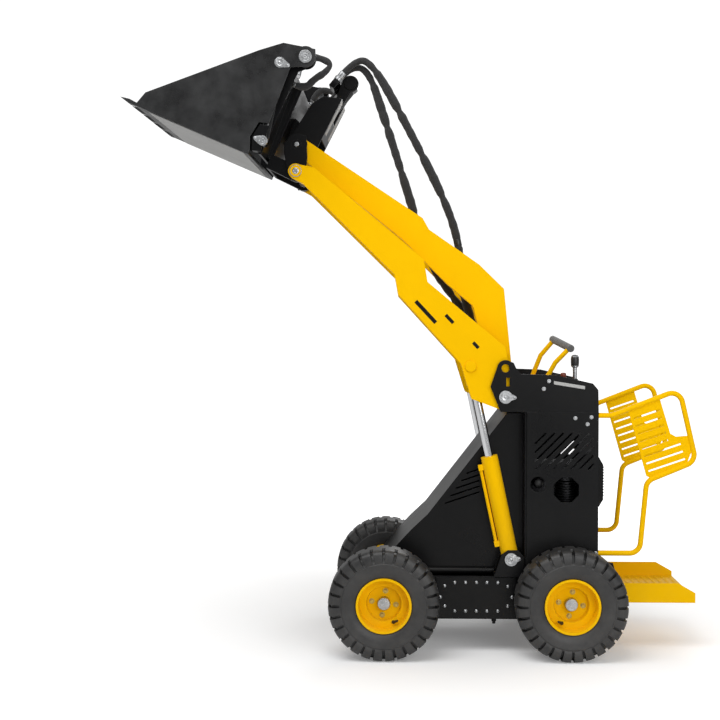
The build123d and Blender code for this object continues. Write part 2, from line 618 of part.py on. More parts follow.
# bucket back: blade, ribs on the hitch, inner cheeks and the outer cheeks of the jaw cylinders
SKIN_IN = HALF_BUCKET - PLATE
CHEEK2_OUT = SKIN_IN - POCKET
CHEEK2_IN = CHEEK2_OUT - PLATE
JAW_Y = (SKIN_IN + CHEEK2_OUT) / 2
JAW_PIN_R = 12.0
JAW_HOLE_R = JAW_PIN_R + PIN_FIT
FLOOR_Z = (-28.0, -16.0)
LIP = (672.0 - 20.0 * 12.0 / 63.0, FLOOR_Z[1] + 1)  # upper front edge of the floor, on the sides' front line
with BuildPart() as bucket_back:
    blade = ((140, -4), (150, -6), (170, 372), (160, 374))
    slab(BUCKET, blade, -CHEEK2_IN, CHEEK2_IN)
    rib = ((HITCH_X[1], 10), (141, 10), (158, 325), (HITCH_X[1], 325))
    for inner, outer in ((70.0, 82.0), (HITCH_OUT - 12, HITCH_OUT)):
        for y1, y2 in both(inner, outer):
            slab(BUCKET, rib, y1, y2)
    inner_cheek = (
        (138, 2), (176, -9), (210, -3), (246, 7), (262, 60), (255, 330), (190, 440), (120, 455), (85, 435),
        (85, 400), (130, 360),
    )
    for y1, y2 in both(CHEEK2_IN, CHEEK2_OUT):
        slab(BUCKET, inner_cheek, y1, y2)
        disc(BUCKET, *JAW_HINGE, 40, y1, y2)
        disc(BUCKET, *JAW_HINGE, JAW_HOLE_R, y1, y2, Mode.SUBTRACT)
        disc(BUCKET, *JAW_FOOT, JAW_HOLE_R, y1, y2, Mode.SUBTRACT)
    outer_cheek = ((136, 2), (170, -8), (190, 40), (180, 100), (143, 110))
    bridge = ((150, -2), (170, -8), (180, 8), (160, 12))
    for y1, y2 in both(SKIN_IN, HALF_BUCKET):
        slab(BUCKET, outer_cheek, y1, y2)
        disc(BUCKET, *JAW_FOOT, JAW_HOLE_R, y1, y2, Mode.SUBTRACT)
    for y1, y2 in both(CHEEK2_OUT, SKIN_IN):
        slab(BUCKET, bridge, y1, y2)
save(bucket_back.part, "bucket_back")

# bucket jaw: floor, sides and teeth
with BuildPart() as jaw:
    skin = (
        (178, FLOOR_Z[0]), (672, FLOOR_Z[0] + 1), (652, 36), (299, 369), (222, 433), (95, 460), (78, 425),
        (90, 390), (158, 355), (149, 118), (188, 106), (198, 40), (178, -8),
    )
    for y1, y2 in both(SKIN_IN, HALF_BUCKET):
        slab(BUCKET, skin, y1, y2)
        disc(BUCKET, *JAW_HINGE, 42, y1, y2)
        disc(BUCKET, *JAW_HINGE, JAW_HOLE_R, y1, y2, Mode.SUBTRACT)
    floor = (
        (178, FLOOR_Z[0]), (672, FLOOR_Z[0] + 1), LIP, (640, FLOOR_Z[1]), (178, FLOOR_Z[1]),
    )
    slab(BUCKET, floor, -SKIN_IN, SKIN_IN)
save(jaw.part, "bucket_jaw")

with BuildPart() as teeth:
    tooth = (LIP, (672, FLOOR_Z[0] + 1), (700, FLOOR_Z[0] - 1), TIP, (700, -12))
    pitch = (BUCKET_W - TOOTH_W) / (TEETH - 1)
    for i in range(TEETH):
        y = TOOTH_W / 2 - HALF_BUCKET + i * pitch
        slab(BUCKET, tooth, y - TOOTH_W / 2, y + TOOTH_W / 2)
save(teeth.part, "bucket_teeth")

# cylinders, each drawn along its own line from its foot
ROD_FIT = 0.3
PIPE_R = 7.0  # oil pipe in front of the lift cylinder
PIPE_OFF = LIFT_BARREL_R + 10.0
PIPE_U = (70.0, LIFT_BARREL_L - 40.0)


def barrel(view, length, r, bore, y, half):
    """A foot eye, then the tube, bored for its rod."""
    disc(view, 0, 0, r, y - half, y + half)
    base = view(y)
    tube = Plane(origin=base.origin, x_dir=(0, 1, 0), z_dir=base.x_dir)
    with BuildSketch(tube.offset(0.6 * r)) as ring:
        Circle(r)
    extrude(ring.sketch, amount=length - 0.6 * r)
    with BuildSketch(tube.offset(1.15 * r)) as hole:
        Circle(bore)
    extrude(hole.sketch, amount=length, mode=Mode.SUBTRACT)


def rod(view, start, length, r, eye, y, half, stub, stub_half):
    """A rod from inside its barrel to its eye, with the pin that stays in the eye."""
    base = view(y)
    tube = Plane(origin=base.origin, x_dir=(0, 1, 0), z_dir=base.x_dir)
    with BuildSketch(tube.offset(start)) as ring:
        Circle(r)
    extrude(ring.sketch, amount=length - start)
    disc(view, length, 0, eye, y - half, y + half)
    disc(view, length, 0, stub, y - stub_half, y + stub_half)


EYE_AT = (
    PIVOT[0] + LIFT_EYE[0] * cos(UP) - LIFT_EYE[1] * sin(UP),
    PIVOT[1] + LIFT_EYE[0] * sin(UP) + LIFT_EYE[1] * cos(UP),
)
LIFT_L, LIFT_ANGLE = toward(LIFT_BASE, EYE_AT)
TILT_L, TILT_ANGLE = toward(TILT_TOP, TILT_EYE)
JAW_L, JAW_ANGLE = toward(JAW_FOOT, JAW_EYE)
LIFT = frame(*LIFT_BASE, LIFT_ANGLE)
TILT = frame(FRONT_PIN[0] + TILT_TOP[0], FRONT_PIN[1] + TILT_TOP[1], TILT_ANGLE)
JAW = frame(
    FRONT_PIN[0] + JAW_FOOT[0] * cos(NOSE) - JAW_FOOT[1] * sin(NOSE),
    FRONT_PIN[1] + JAW_FOOT[0] * sin(NOSE) + JAW_FOOT[1] * cos(NOSE),
    JAW_ANGLE + CURL,
)
for name, hand in (("left", 1), ("right", -1)):
    with BuildPart() as lift_barrel:
        barrel(LIFT, LIFT_BARREL_L, LIFT_BARREL_R, LIFT_ROD_R + ROD_FIT, hand * LIFT_Y, LIFT_BARREL_R - 1)
        disc(LIFT, 0, 0, HOLE_R, hand * LIFT_Y - 60, hand * LIFT_Y + 60, Mode.SUBTRACT)
        foot = LIFT(hand * LIFT_Y)
        pipe = Plane(origin=foot.origin - PIPE_OFF * foot.y_dir, x_dir=(0, 1, 0), z_dir=foot.x_dir)
        with BuildSketch(pipe.offset(PIPE_U[0])) as ring:
            Circle(PIPE_R)
        extrude(ring.sketch, amount=PIPE_U[1] - PIPE_U[0])
        for u in PIPE_U:
            port = ((u - 12, -PIPE_OFF - 9), (u + 12, -PIPE_OFF - 9), (u + 12, -30), (u - 12, -30))
            slab(LIFT, port, hand * LIFT_Y - 11, hand * LIFT_Y + 11)
    save(lift_barrel.part, f"lift_barrel_{name}")
    with BuildPart() as lift_rod:
        inside = ARM_W / 2 - WALL
        rod(LIFT, 345, LIFT_L, LIFT_ROD_R, 28, hand * LIFT_Y, inside - 3.5, PIN_R - 6, inside - 1)
    save(lift_rod.part, f"lift_rod_{name}")
    with BuildPart() as jaw_barrel:
        barrel(JAW, JAW_BARREL_L, JAW_BARREL_R, JAW_ROD_R + ROD_FIT, hand * JAW_Y, JAW_BARREL_R - 2)
        disc(JAW, 0, 0, JAW_HOLE_R, hand * JAW_Y - 40, hand * JAW_Y + 40, Mode.SUBTRACT)
    save(jaw_barrel.part, f"jaw_barrel_{name}")
    with BuildPart() as jaw_rod:
        rod(JAW, 60, JAW_L, JAW_ROD_R, 18, hand * JAW_Y, 14, JAW_PIN_R - 3, POCKET / 2 - 1)
    save(jaw_rod.part, f"jaw_rod_{name}")

PORT_U = 30.0  # rear face of the hose block, along the tilt cylinder
PORT_V = 43.0
with BuildPart() as tilt_barrel:
    barrel(TILT, TILT_BARREL_L, TILT_BARREL_R, TILT_ROD_R + ROD_FIT, 0, TILT_BARREL_R - 1)
    disc(TILT, 0, 0, HOLE_R, -60, 60, Mode.SUBTRACT)
    slab(TILT, ((PORT_U, 30), (PORT_U + 40, 30), (PORT_U + 40, 56), (PORT_U, 56)), -30, 125)
save(tilt_barrel.part, "tilt_barrel")
with BuildPart() as tilt_rod:
    rod(TILT, 46, TILT_L, TILT_ROD_R, 26, 0, ROD_LUG - 5, PIN_R - 6, ROD_LUG - 1)
save(tilt_rod.part, "tilt_rod")

# pins: shaft from y1 to y2, then a keeper head that bears on its own body
HEAD_T = 6.0
with BuildPart() as frame_pins:
    for y1, y2 in both(CHEEK_IN, PANEL_Y):
        disc(GROUND, *PIVOT, PIN_R, y1, y2)
    for y1, y2 in both(PANEL_Y, PANEL_Y + HEAD_T):
        disc(GROUND, *PIVOT, PIN_R + 7, y1, y2)
    for y1, y2 in both(CORE_IN, CHEEK_OUT):
        disc(GROUND, PIVOT[0], PIVOT[1] + LINK_RISE, PIN_R, y1, y2)
    for y1, y2 in both(CORE_IN - HEAD_T, CORE_IN):
        disc(GROUND, PIVOT[0], PIVOT[1] + LINK_RISE, PIN_R + 7, y1, y2)
    for y1, y2 in both(LIFT_Y - FOOT_GAP - PLATE, PANEL_Y - 2):
        disc(GROUND, *LIFT_BASE, PIN_R, y1, y2)
    for y1, y2 in both(PANEL_Y - 2, PANEL_Y - 2 + HEAD_T):
        disc(GROUND, *LIFT_BASE, PIN_R + 7, y1, y2)
save(frame_pins.part, "frame_pins")

with BuildPart() as boom_pins:
    for y1, y2 in both(HITCH_IN, ARM_OUT):
        disc(BOOM, BOOM_L, 0, PIN_R, y1, y2)
    for y1, y2 in both(ARM_OUT, ARM_OUT + HEAD_T):
        disc(BOOM, BOOM_L, 0, PIN_R + 5, y1, y2)
    for y1, y2 in both(ARM_OUT, ARM_OUT + 4):
        disc(BOOM, *LIFT_EYE, PIN_R, y1, y2)
save(boom_pins.part, "boom_pins")

with BuildPart() as carrier_pins:
    for y1, y2 in both(CORE_IN, CHEEK_OUT):
        disc(HEAD, 0, LINK_RISE, PIN_R, y1, y2)
    for y1, y2 in both(CORE_IN - HEAD_T, CORE_IN):
        disc(HEAD, 0, LINK_RISE, PIN_R + 7, y1, y2)
    disc(HEAD, *TILT_TOP, PIN_R, -LUG_IN - PLATE, LUG_IN + PLATE)
    for y1, y2 in both(LUG_IN + PLATE, LUG_IN + PLATE + HEAD_T):
        disc(HEAD, *TILT_TOP, PIN_R + 7, y1, y2)
save(carrier_pins.part, "carrier_pins")

with BuildPart() as bucket_pins:
    for spot in (JAW_HINGE, JAW_FOOT):
        for y1, y2 in both(CHEEK2_IN, HALF_BUCKET):
            disc(BUCKET, *spot, JAW_PIN_R, y1, y2)
    for y1, y2 in both(CHEEK2_IN - HEAD_T, CHEEK2_IN):
        disc(BUCKET, *JAW_HINGE, JAW_PIN_R + 8, y1, y2)
    for y1, y2 in both(HALF_BUCKET, HALF_BUCKET + HEAD_T):
        disc(BUCKET, *JAW_FOOT, JAW_PIN_R + 8, y1, y2)
    for y1, y2 in both(HALF_BUCKET + 0.5, HALF_BUCKET + 0.5 + HEAD_T):
        disc(BUCKET, *JAW_HINGE, JAW_PIN_R + 14, y1, y2)
    for y1, y2 in both(HALF_BUCKET, HALF_BUCKET + 0.5):
        disc(BUCKET, *JAW_HINGE, JAW_PIN_R, y1, y2)
save(bucket_pins.part, "bucket_pins")

# hoses in textile sleeves, from the block on the tilt cylinder down between the arms to the bulkhead
HOSE_R = 13.0
HOSE_BEND = 65.0
TURN = radians(TILT_ANGLE)
PORT = (
    FRONT_PIN[0] + TILT_TOP[0] + PORT_U * cos(TURN) - PORT_V * sin(TURN),
    FRONT_PIN[1] + TILT_TOP[1] + PORT_U * sin(TURN) + PORT_V * cos(TURN),
)
HOSE_ROUTE = {
    # along the boom as a share of its length, above the boom line
    "upper": ((0.896, 490), (0.607, 386), (0.47, 306), (0.38, 207), (0.24, 106), (0.111, 49)),
    "lower": ((0.954, 440), (0.776, 333), (0.481, 151), (0.335, 130), (0.178, 88), (0.069, 33)),
}
HOSES = (
    # name, share of the gap between core plates, run up from the block, run over the top, slope, end height
    ("upper", 0.673, 110.0, 75.0, 185.0, 1075.0),
    ("lower", 0.481, 80.0, 80.0, 187.0, 1040.0),
)
for name, share, run, over, slope, low in HOSES:
    rise = (PORT[0] - run * cos(TURN), PORT[1] - run * sin(TURN))
    crest = (rise[0] + over * cos(radians(slope)), rise[1] + over * sin(radians(slope)))
    along = [
        (PIVOT[0] + u * BOOM_L * cos(UP) - w * sin(UP), PIVOT[1] + u * BOOM_L * sin(UP) + w * cos(UP))
        for u, w in HOSE_ROUTE[name]
    ]
    route = (PORT, rise, crest, *along, (BULKHEAD_X + PLATE + 92, low), (BULKHEAD_X + PLATE, low))
    with BuildPart() as hose:
        with BuildLine(GROUND(share * CORE_IN)) as path:
            FilletPolyline(*route, radius=HOSE_BEND)
        with BuildSketch(path.line ^ 0):
            Circle(HOSE_R)
        sweep(path=path.line)
    save(hose.part, f"hose_{name}")
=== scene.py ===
# %% [markdown]
# # A stand-on mini loader, dressed in Blender
# The machine is a small wheeled loader: the driver stands on a tray at the back, and a raised boom
# carries a toothed clam bucket. The plates, pins and joints come in as a fixed frame, already in
# place and in metres. This lesson adds what a workshop would add last: paint, rubber, bolts, hoses.

# %% Load the frame
import json
import math

import bmesh
import bpy
import numpy as np
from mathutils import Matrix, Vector


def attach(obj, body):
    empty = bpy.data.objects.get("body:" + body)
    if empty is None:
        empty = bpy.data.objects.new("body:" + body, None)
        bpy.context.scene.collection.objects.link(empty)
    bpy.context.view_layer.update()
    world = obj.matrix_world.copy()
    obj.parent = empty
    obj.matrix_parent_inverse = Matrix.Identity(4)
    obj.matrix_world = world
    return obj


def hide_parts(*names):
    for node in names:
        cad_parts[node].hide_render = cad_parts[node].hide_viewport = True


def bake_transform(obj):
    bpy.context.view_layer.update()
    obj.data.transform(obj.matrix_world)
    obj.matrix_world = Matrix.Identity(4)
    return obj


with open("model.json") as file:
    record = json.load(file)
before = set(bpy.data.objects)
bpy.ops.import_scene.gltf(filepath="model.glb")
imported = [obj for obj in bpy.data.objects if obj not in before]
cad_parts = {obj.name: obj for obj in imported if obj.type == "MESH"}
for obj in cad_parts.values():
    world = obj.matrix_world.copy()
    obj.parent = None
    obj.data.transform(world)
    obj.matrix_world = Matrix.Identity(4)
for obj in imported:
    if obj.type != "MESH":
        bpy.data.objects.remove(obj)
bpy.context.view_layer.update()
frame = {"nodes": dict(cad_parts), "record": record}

# %% [markdown]
# The drawings of this machine are side views: X forward from the middle of the wheelbase, Z up
# from the ground, in millimetres. The boom and the bucket have tilted side views of their own, and the
# boom's head a level one. One small function per view turns such points into the shared frame, so every
# number below can be read off a drawing.

# %% Side views
PIVOT = (-120.5, 1063.5)  # of the boom, on the tower
BOOM_L, BOOM_UP, CURL = 1276.0, 47.1, 23.4  # boom length, its slope and the bucket's, in degrees
LINK_RISE = 119.0  # link pins above the boom's
STAND_REAR = -920.0  # rear edge of the platform
TOOTH_TIP = (739.0, -19.0)  # in the bucket's view
UP, NOSE = math.radians(BOOM_UP), math.radians(CURL)
FRONT_PIN = (PIVOT[0] + BOOM_L * math.cos(UP), PIVOT[1] + BOOM_L * math.sin(UP))
TIP_X = FRONT_PIN[0] + TOOTH_TIP[0] * math.cos(NOSE) - TOOTH_TIP[1] * math.sin(NOSE)
MID_X = (TIP_X + STAND_REAR) / 2


def side_view(x0, z0, tilt=0.0):
    """(along, across, above) in mm of a view tilted nose up by tilt degrees -> metres in the frame."""
    c, s = math.cos(math.radians(tilt)), math.sin(math.radians(tilt))
    turn = np.array(((c, 0.0, s), (0.0, 1.0, 0.0), (-s, 0.0, c)))
    zero = np.array((x0 - MID_X, 0.0, z0))
    return lambda p: (np.asarray(p, float) @ turn + zero) / 1000.0


GROUND = side_view(0, 0)
BOOM = side_view(*PIVOT, BOOM_UP)
HEAD = side_view(*FRONT_PIN)
BUCKET = side_view(*FRONT_PIN, CURL)
print("bucket pin in the frame:", BUCKET((0, 0, 0)).round(3))

# %% [markdown]
# The camera stands level with the console, almost square on to the left side, about 5.4 m from the
# near tyres. It is turned 1.7 degrees to the front and 1.8 degrees down, so no lens shift is needed.

# %% Camera
FOCAL_PX, FRAME_PX, SENSOR_MM = 1350.0, 720.0, 36.0
EYE = (0.0586, 5.9, 1.39)
AHEAD_PX, DOWN_PX = 40.0, 42.0  # how far the aim is off square, on the picture
camera_data = bpy.data.cameras.new("camera")
camera_data.sensor_fit = "HORIZONTAL"
camera_data.sensor_width = SENSOR_MM
camera_data.lens = SENSOR_MM * FOCAL_PX / FRAME_PX
camera_data.clip_end = 100.0
camera = bpy.data.objects.new("camera", camera_data)
bpy.context.scene.collection.objects.link(camera)
camera.location = EYE
gaze = Vector((AHEAD_PX / FOCAL_PX, -1.0, -DOWN_PX / FOCAL_PX))
camera.rotation_euler = gaze.to_track_quat("-Z", "Y").to_euler()
bpy.context.scene.camera = camera
print("lens", round(camera_data.lens, 1), "mm")

# %% [markdown]
# A product shot on white: a pale floor, an even world and three large soft panels. The panel above
# draws the long highlights on the boom, the one beside the camera fills the black plates, and the one
# behind picks out the rims of the tyres. A horizon would cut the picture in two, so the floor glows a
# little far from the machine, as a lit studio sweep does, until it is as bright as the backdrop.

# %% Floor and light
FAR = 30  # metres from the middle to the floor's edge
BACKDROP, FILL = 1.1, 0.40  # how bright the world is to the camera, and to the machine
GLOW = (0.6, 4.0, 0.15, BACKDROP - 0.2)  # from and to in metres, and the floor's own light at each
floor_mesh = bpy.data.meshes.new("floor")
corners = [(-FAR, -FAR, 0), (FAR, -FAR, 0), (FAR, FAR, 0), (-FAR, FAR, 0)]
floor_mesh.from_pydata(corners, [], [(0, 1, 2, 3)])
floor = bpy.data.objects.new("floor", floor_mesh)
bpy.context.scene.collection.objects.link(floor)
floor_paint = bpy.data.materials.new("pale_floor")
floor_paint.use_nodes = True
floor_shader = floor_paint.node_tree.nodes["Principled BSDF"]
floor_shader.inputs["Base Color"].default_value = (0.92, 0.92, 0.92, 1)
floor_shader.inputs["Roughness"].default_value = 0.8
floor_shader.inputs["Emission Color"].default_value = (1, 1, 1, 1)
floor_mesh.materials.append(floor_paint)
away = floor_paint.node_tree.nodes.new("ShaderNodeVectorMath")
away.operation = "LENGTH"
glow = floor_paint.node_tree.nodes.new("ShaderNodeMapRange")
for socket, number in zip(glow.inputs[1:5], GLOW):
    socket.default_value = number
floor_spot = floor_paint.node_tree.nodes.new("ShaderNodeTexCoord").outputs["Object"]
floor_paint.node_tree.links.new(floor_spot, away.inputs[0])
floor_paint.node_tree.links.new(away.outputs["Value"], glow.inputs[0])
shown = floor_paint.node_tree.nodes.new("ShaderNodeMath")
shown.operation = "MULTIPLY"
ray = floor_paint.node_tree.nodes.new("ShaderNodeLightPath").outputs["Is Camera Ray"]
floor_paint.node_tree.links.new(glow.outputs[0], shown.inputs[0])
floor_paint.node_tree.links.new(ray, shown.inputs[1])
floor_paint.node_tree.links.new(shown.outputs[0], floor_shader.inputs["Emission Strength"])

sky = bpy.data.worlds.new("studio")
sky.use_nodes = True
sky_light = sky.node_tree.nodes["Background"]
sky_light.inputs["Color"].default_value = (1, 1, 1, 1)
seen = sky.node_tree.nodes.new("ShaderNodeMapRange")
for socket, number in zip(seen.inputs[1:5], (0.0, 1.0, FILL, BACKDROP)):
    socket.default_value = number
ray = sky.node_tree.nodes.new("ShaderNodeLightPath").outputs["Is Camera Ray"]
sky.node_tree.links.new(ray, seen.inputs[0])
sky.node_tree.links.new(seen.outputs[0], sky_light.inputs["Strength"])
bpy.context.scene.world = sky
bpy.context.scene.view_settings.view_transform = "Standard"

PANELS = (
    # name, place, aim, width, height, watts
    ("panel_above", (1.2, 2.2, 5.0), (0.1, 0.0, 1.2), 4.0, 3.0, 135.0),
    ("panel_side", (-2.5, 5.5, 2.6), (0.0, 0.0, 1.0), 3.0, 3.0, 105.0),
    ("panel_back", (-1.5, -4.5, 3.5), (0.0, 0.0, 1.0), 3.0, 2.0, 60.0),
)
for name, place, aim, width, height, watts in PANELS:
    lamp = bpy.data.lights.new(name, "AREA")
    lamp.shape = "RECTANGLE"
    lamp.size, lamp.size_y, lamp.energy = width, height, watts
    holder = bpy.data.objects.new(name, lamp)
    bpy.context.scene.collection.objects.link(holder)
    holder.location = place
    holder.rotation_euler = (Vector(aim) - Vector(place)).to_track_quat("-Z", "Y").to_euler()
print("lights:", len(PANELS))

# %% [markdown]
# Shaders are built from small pieces. `plug` fills a socket, `add` places one node and fills its sockets,
# `maths` and `mix_colour` shorten the two most common ones, and `effect` opens a node group with named
# sockets.

# %% Shader helpers


def plug(tree, socket, value):
    """Fills a socket with a plain value, or links another node's output to it."""
    if isinstance(value, bpy.types.NodeSocket):
        tree.links.new(value, socket)
    else:
        socket.default_value = value


def add(tree, kind, settings=None, **inputs):
    """One node: settings are its own fields, inputs its sockets (a value or another node's socket)."""
    made = tree.nodes.new(kind)
    for key, value in (settings or {}).items():
        setattr(made, key, value)
    for key, value in inputs.items():
        plug(tree, made.inputs[key.replace("_", " ")], value)
    return made


def maths(tree, operation, first, second=0.0, clamp=False):
    """first operation second, as a Math node's output."""
    made = tree.nodes.new("ShaderNodeMath")
    made.operation = operation
    made.use_clamp = clamp
    for socket, value in zip(made.inputs, (first, second)):
        plug(tree, socket, value)
    return made.outputs[0]


def mix_colour(tree, share, first, second):
    """first where share is 0, second where it is 1."""
    made = tree.nodes.new("ShaderNodeMix")
    made.data_type = "RGBA"
    for place, value in ((0, share), (6, first), (7, second)):
        plug(tree, made.inputs[place], value)
    return made.outputs[2]


def span(tree, value, low, high, new_low, new_high):
    """value from low..high stretched to new_low..new_high, and held at the ends."""
    made = add(tree, "ShaderNodeMapRange", Value=value)
    for socket, number in zip(made.inputs[1:5], (low, high, new_low, new_high)):
        socket.default_value = number
    return made.outputs[0]


def effect(name, inputs, outputs):
    """A node group: inputs as (name, default), outputs as (name, socket type)."""
    tree = bpy.data.node_groups.new(name, "ShaderNodeTree")
    for label, default in inputs:
        tree.interface.new_socket(label, in_out="INPUT", socket_type="NodeSocketFloat").default_value = default
    for label, kind in outputs:
        tree.interface.new_socket(label, in_out="OUTPUT", socket_type=kind)
    return tree, tree.nodes.new("NodeGroupInput"), tree.nodes.new("NodeGroupOutput")


def use(tree, group, **inputs):
    """Places a group in a material with its own values."""
    return add(tree, "ShaderNodeGroup", {"node_tree": group}, **inputs)


# %% [markdown]
# Three effects are shared. `soft_edge` rounds each plate's edge in the shading and marks where paint
# rubs thin. `grain` is the fine skin of powder coat, rubber or casting, with a slow tone under it.
# `dust` is the pale film that settles low on the machine and on faces that look up.

# %% Shared effects
soft_edge, ins, outs = effect(
    "soft_edge",
    (("Radius", 0.003), ("Patch Scale", 18.0)),
    (("Wear", "NodeSocketFloat"), ("Normal", "NodeSocketVector")),
)
rounded = add(soft_edge, "ShaderNodeBevel", {"samples": 6}, Radius=ins.outputs["Radius"])
flat_normal = add(soft_edge, "ShaderNodeNewGeometry").outputs["Normal"]
meet = add(soft_edge, "ShaderNodeVectorMath", {"operation": "DOT_PRODUCT"})
soft_edge.links.new(rounded.outputs[0], meet.inputs[0])
soft_edge.links.new(flat_normal, meet.inputs[1])
bend = maths(soft_edge, "MULTIPLY", maths(soft_edge, "SUBTRACT", 1.0, meet.outputs["Value"]), 9.0, clamp=True)
spot = add(soft_edge, "ShaderNodeTexCoord").outputs["Object"]
patches = add(soft_edge, "ShaderNodeTexNoise", Vector=spot, Scale=ins.outputs["Patch Scale"], Detail=4.0)
kept = span(soft_edge, patches.outputs[0], 0.48, 0.62, 0.0, 1.0)
soft_edge.links.new(maths(soft_edge, "MULTIPLY", bend, kept), outs.inputs["Wear"])
soft_edge.links.new(rounded.outputs[0], outs.inputs["Normal"])

grain, ins, outs = effect(
    "grain", (("Scale", 900.0), ("Tone Scale", 3.0)), (("Height", "NodeSocketFloat"), ("Tone", "NodeSocketFloat"))
)
spot = add(grain, "ShaderNodeTexCoord").outputs["Object"]
fine = add(grain, "ShaderNodeTexNoise", Vector=spot, Scale=ins.outputs["Scale"], Detail=2.0)
slow = add(grain, "ShaderNodeTexNoise", Vector=spot, Scale=ins.outputs["Tone Scale"], Detail=5.0, Roughness=0.6)
grain.links.new(fine.outputs[0], outs.inputs["Height"])
grain.links.new(span(grain, slow.outputs[0], 0.3, 0.7, 0.0, 1.0), outs.inputs["Tone"])

dust, ins, outs = effect("dust", (("Reach", 0.7), ("Scale", 6.0)), (("Film", "NodeSocketFloat"),))
spot = add(dust, "ShaderNodeTexCoord").outputs["Object"]
height = add(dust, "ShaderNodeSeparateXYZ", Vector=spot).outputs["Z"]
low_down = maths(dust, "SUBTRACT", 1.0, maths(dust, "DIVIDE", height, ins.outputs["Reach"]), clamp=True)
facing = add(dust, "ShaderNodeSeparateXYZ", Vector=add(dust, "ShaderNodeNewGeometry").outputs["Normal"]).outputs["Z"]
looks_up = maths(dust, "MULTIPLY", maths(dust, "MAXIMUM", facing, 0.0), 0.35)
cloud = add(dust, "ShaderNodeTexNoise", Vector=spot, Scale=ins.outputs["Scale"], Detail=6.0, Roughness=0.65)
drift = span(dust, cloud.outputs[0], 0.35, 0.75, 0.0, 1.0)
dust.links.new(maths(dust, "MULTIPLY", maths(dust, "ADD", low_down, looks_up), drift, clamp=True), outs.inputs["Film"])
print("effects:", [g.name for g in bpy.data.node_groups])

# %% [markdown]
# Most of the machine is sprayed steel, so one recipe serves the gloss yellow, the satin black and the
# pale grey, which under the bucket is a painted reflection of the studio floor: a colour with a slow drift,
# a rubbed edge in a second colour, a thin film of dust, and the orange-peel skin of the coat as a bump over
# the rounded edge.

# %% Sprayed steel
DUST_COLOUR = (0.30, 0.27, 0.23, 1)


def blank(name):
    """A new material, with its node tree and its shader."""
    made = bpy.data.materials.new(name)
    made.use_nodes = True
    return made, made.node_tree, made.node_tree.nodes["Principled BSDF"]


def skin_bump(tree, shader, strength, distance, **inputs):
    """A Bump node of that strength and distance, in metres, on the shader's Normal."""
    bump = add(tree, "ShaderNodeBump", Strength=strength, Distance=distance, **inputs)
    tree.links.new(bump.outputs[0], shader.inputs["Normal"])


def sprayed(name, colour, drifted, rubbed, rough, film, skin=0.05, edge=0.003, wear=0.5, patch=2.6, swing=0.12):
    """Painted steel: colour drifts to drifted in patches, edges rub to rubbed, film is how much dust shows."""
    made, tree, shader = blank(name)
    edges = use(tree, soft_edge, Radius=edge)
    skin_of = use(tree, grain, Scale=420.0, Tone_Scale=patch)
    settled = use(tree, dust)
    coat = mix_colour(tree, skin_of.outputs["Tone"], (*colour, 1), (*drifted, 1))
    rub = maths(tree, "MULTIPLY", edges.outputs["Wear"], wear)
    coat = mix_colour(tree, rub, coat, (*rubbed, 1))
    veil = maths(tree, "MULTIPLY", settled.outputs["Film"], film)
    tree.links.new(mix_colour(tree, veil, coat, DUST_COLOUR), shader.inputs["Base Color"])
    gloss = span(tree, skin_of.outputs["Tone"], 0.0, 1.0, rough * (1 - swing), rough * (1 + swing))
    dulled = maths(tree, "ADD", gloss, maths(tree, "MULTIPLY", veil, 0.4))
    tree.links.new(maths(tree, "ADD", dulled, maths(tree, "MULTIPLY", rub, 0.15)), shader.inputs["Roughness"])
    skin_bump(tree, shader, skin, 0.001, Height=skin_of.outputs["Height"], Normal=edges.outputs["Normal"])
    return made


yellow_paint = sprayed(
    "yellow_paint", (0.93, 0.53, 0.002), (0.88, 0.49, 0.002), (0.70, 0.32, 0.0), 0.38, 0.06, wear=0.35
)
black_paint = sprayed(
    "black_paint", (0.003, 0.0031, 0.0034), (0.0048, 0.0049, 0.0053), (0.03, 0.03, 0.032), 0.30, 0.03, 0.09
)
worn_black = sprayed(
    "worn_black", (0.0022, 0.0023, 0.0026), (0.021, 0.0214, 0.0222), (0.06, 0.06, 0.06), 0.34, 0.06, 0.10,
    wear=0.8, patch=7.0, swing=0.4,
)
gloss_black = sprayed(
    "gloss_black", (0.003, 0.0031, 0.0034), (0.004, 0.0041, 0.0045), (0.03, 0.03, 0.032), 0.13, 0.02, 0.02
)
# one pale grey for the strip and the panels; on the plate under the bucket the same grey is a painted reflection of the
# floor
grey_paint_and_reflection = sprayed("grey_paint_and_reflection", (0.44, 0.44, 0.43), (0.38, 0.38, 0.37), (0.62, 0.62, 0.60), 0.42, 0.10)
LOW_SHINE = 0.17  # both main paints reflect little of the white studio
for coat, tint in ((yellow_paint, (1.0, 0.6, 0.02, 1)), (black_paint, (1, 1, 1, 1))):
    sockets = coat.node_tree.nodes["Principled BSDF"].inputs
    sockets["Specular IOR Level"].default_value = LOW_SHINE
    sockets["Specular Tint"].default_value = tint
print("paints made")

# %% [markdown]
# Bare metals: zinc plating on bolts and keepers has a faint crystal pattern, the cylinder rods are
# hard chrome with a film of oil, and the tooth steel is worn bright in streaks along the digging way.

# %% Bare metals


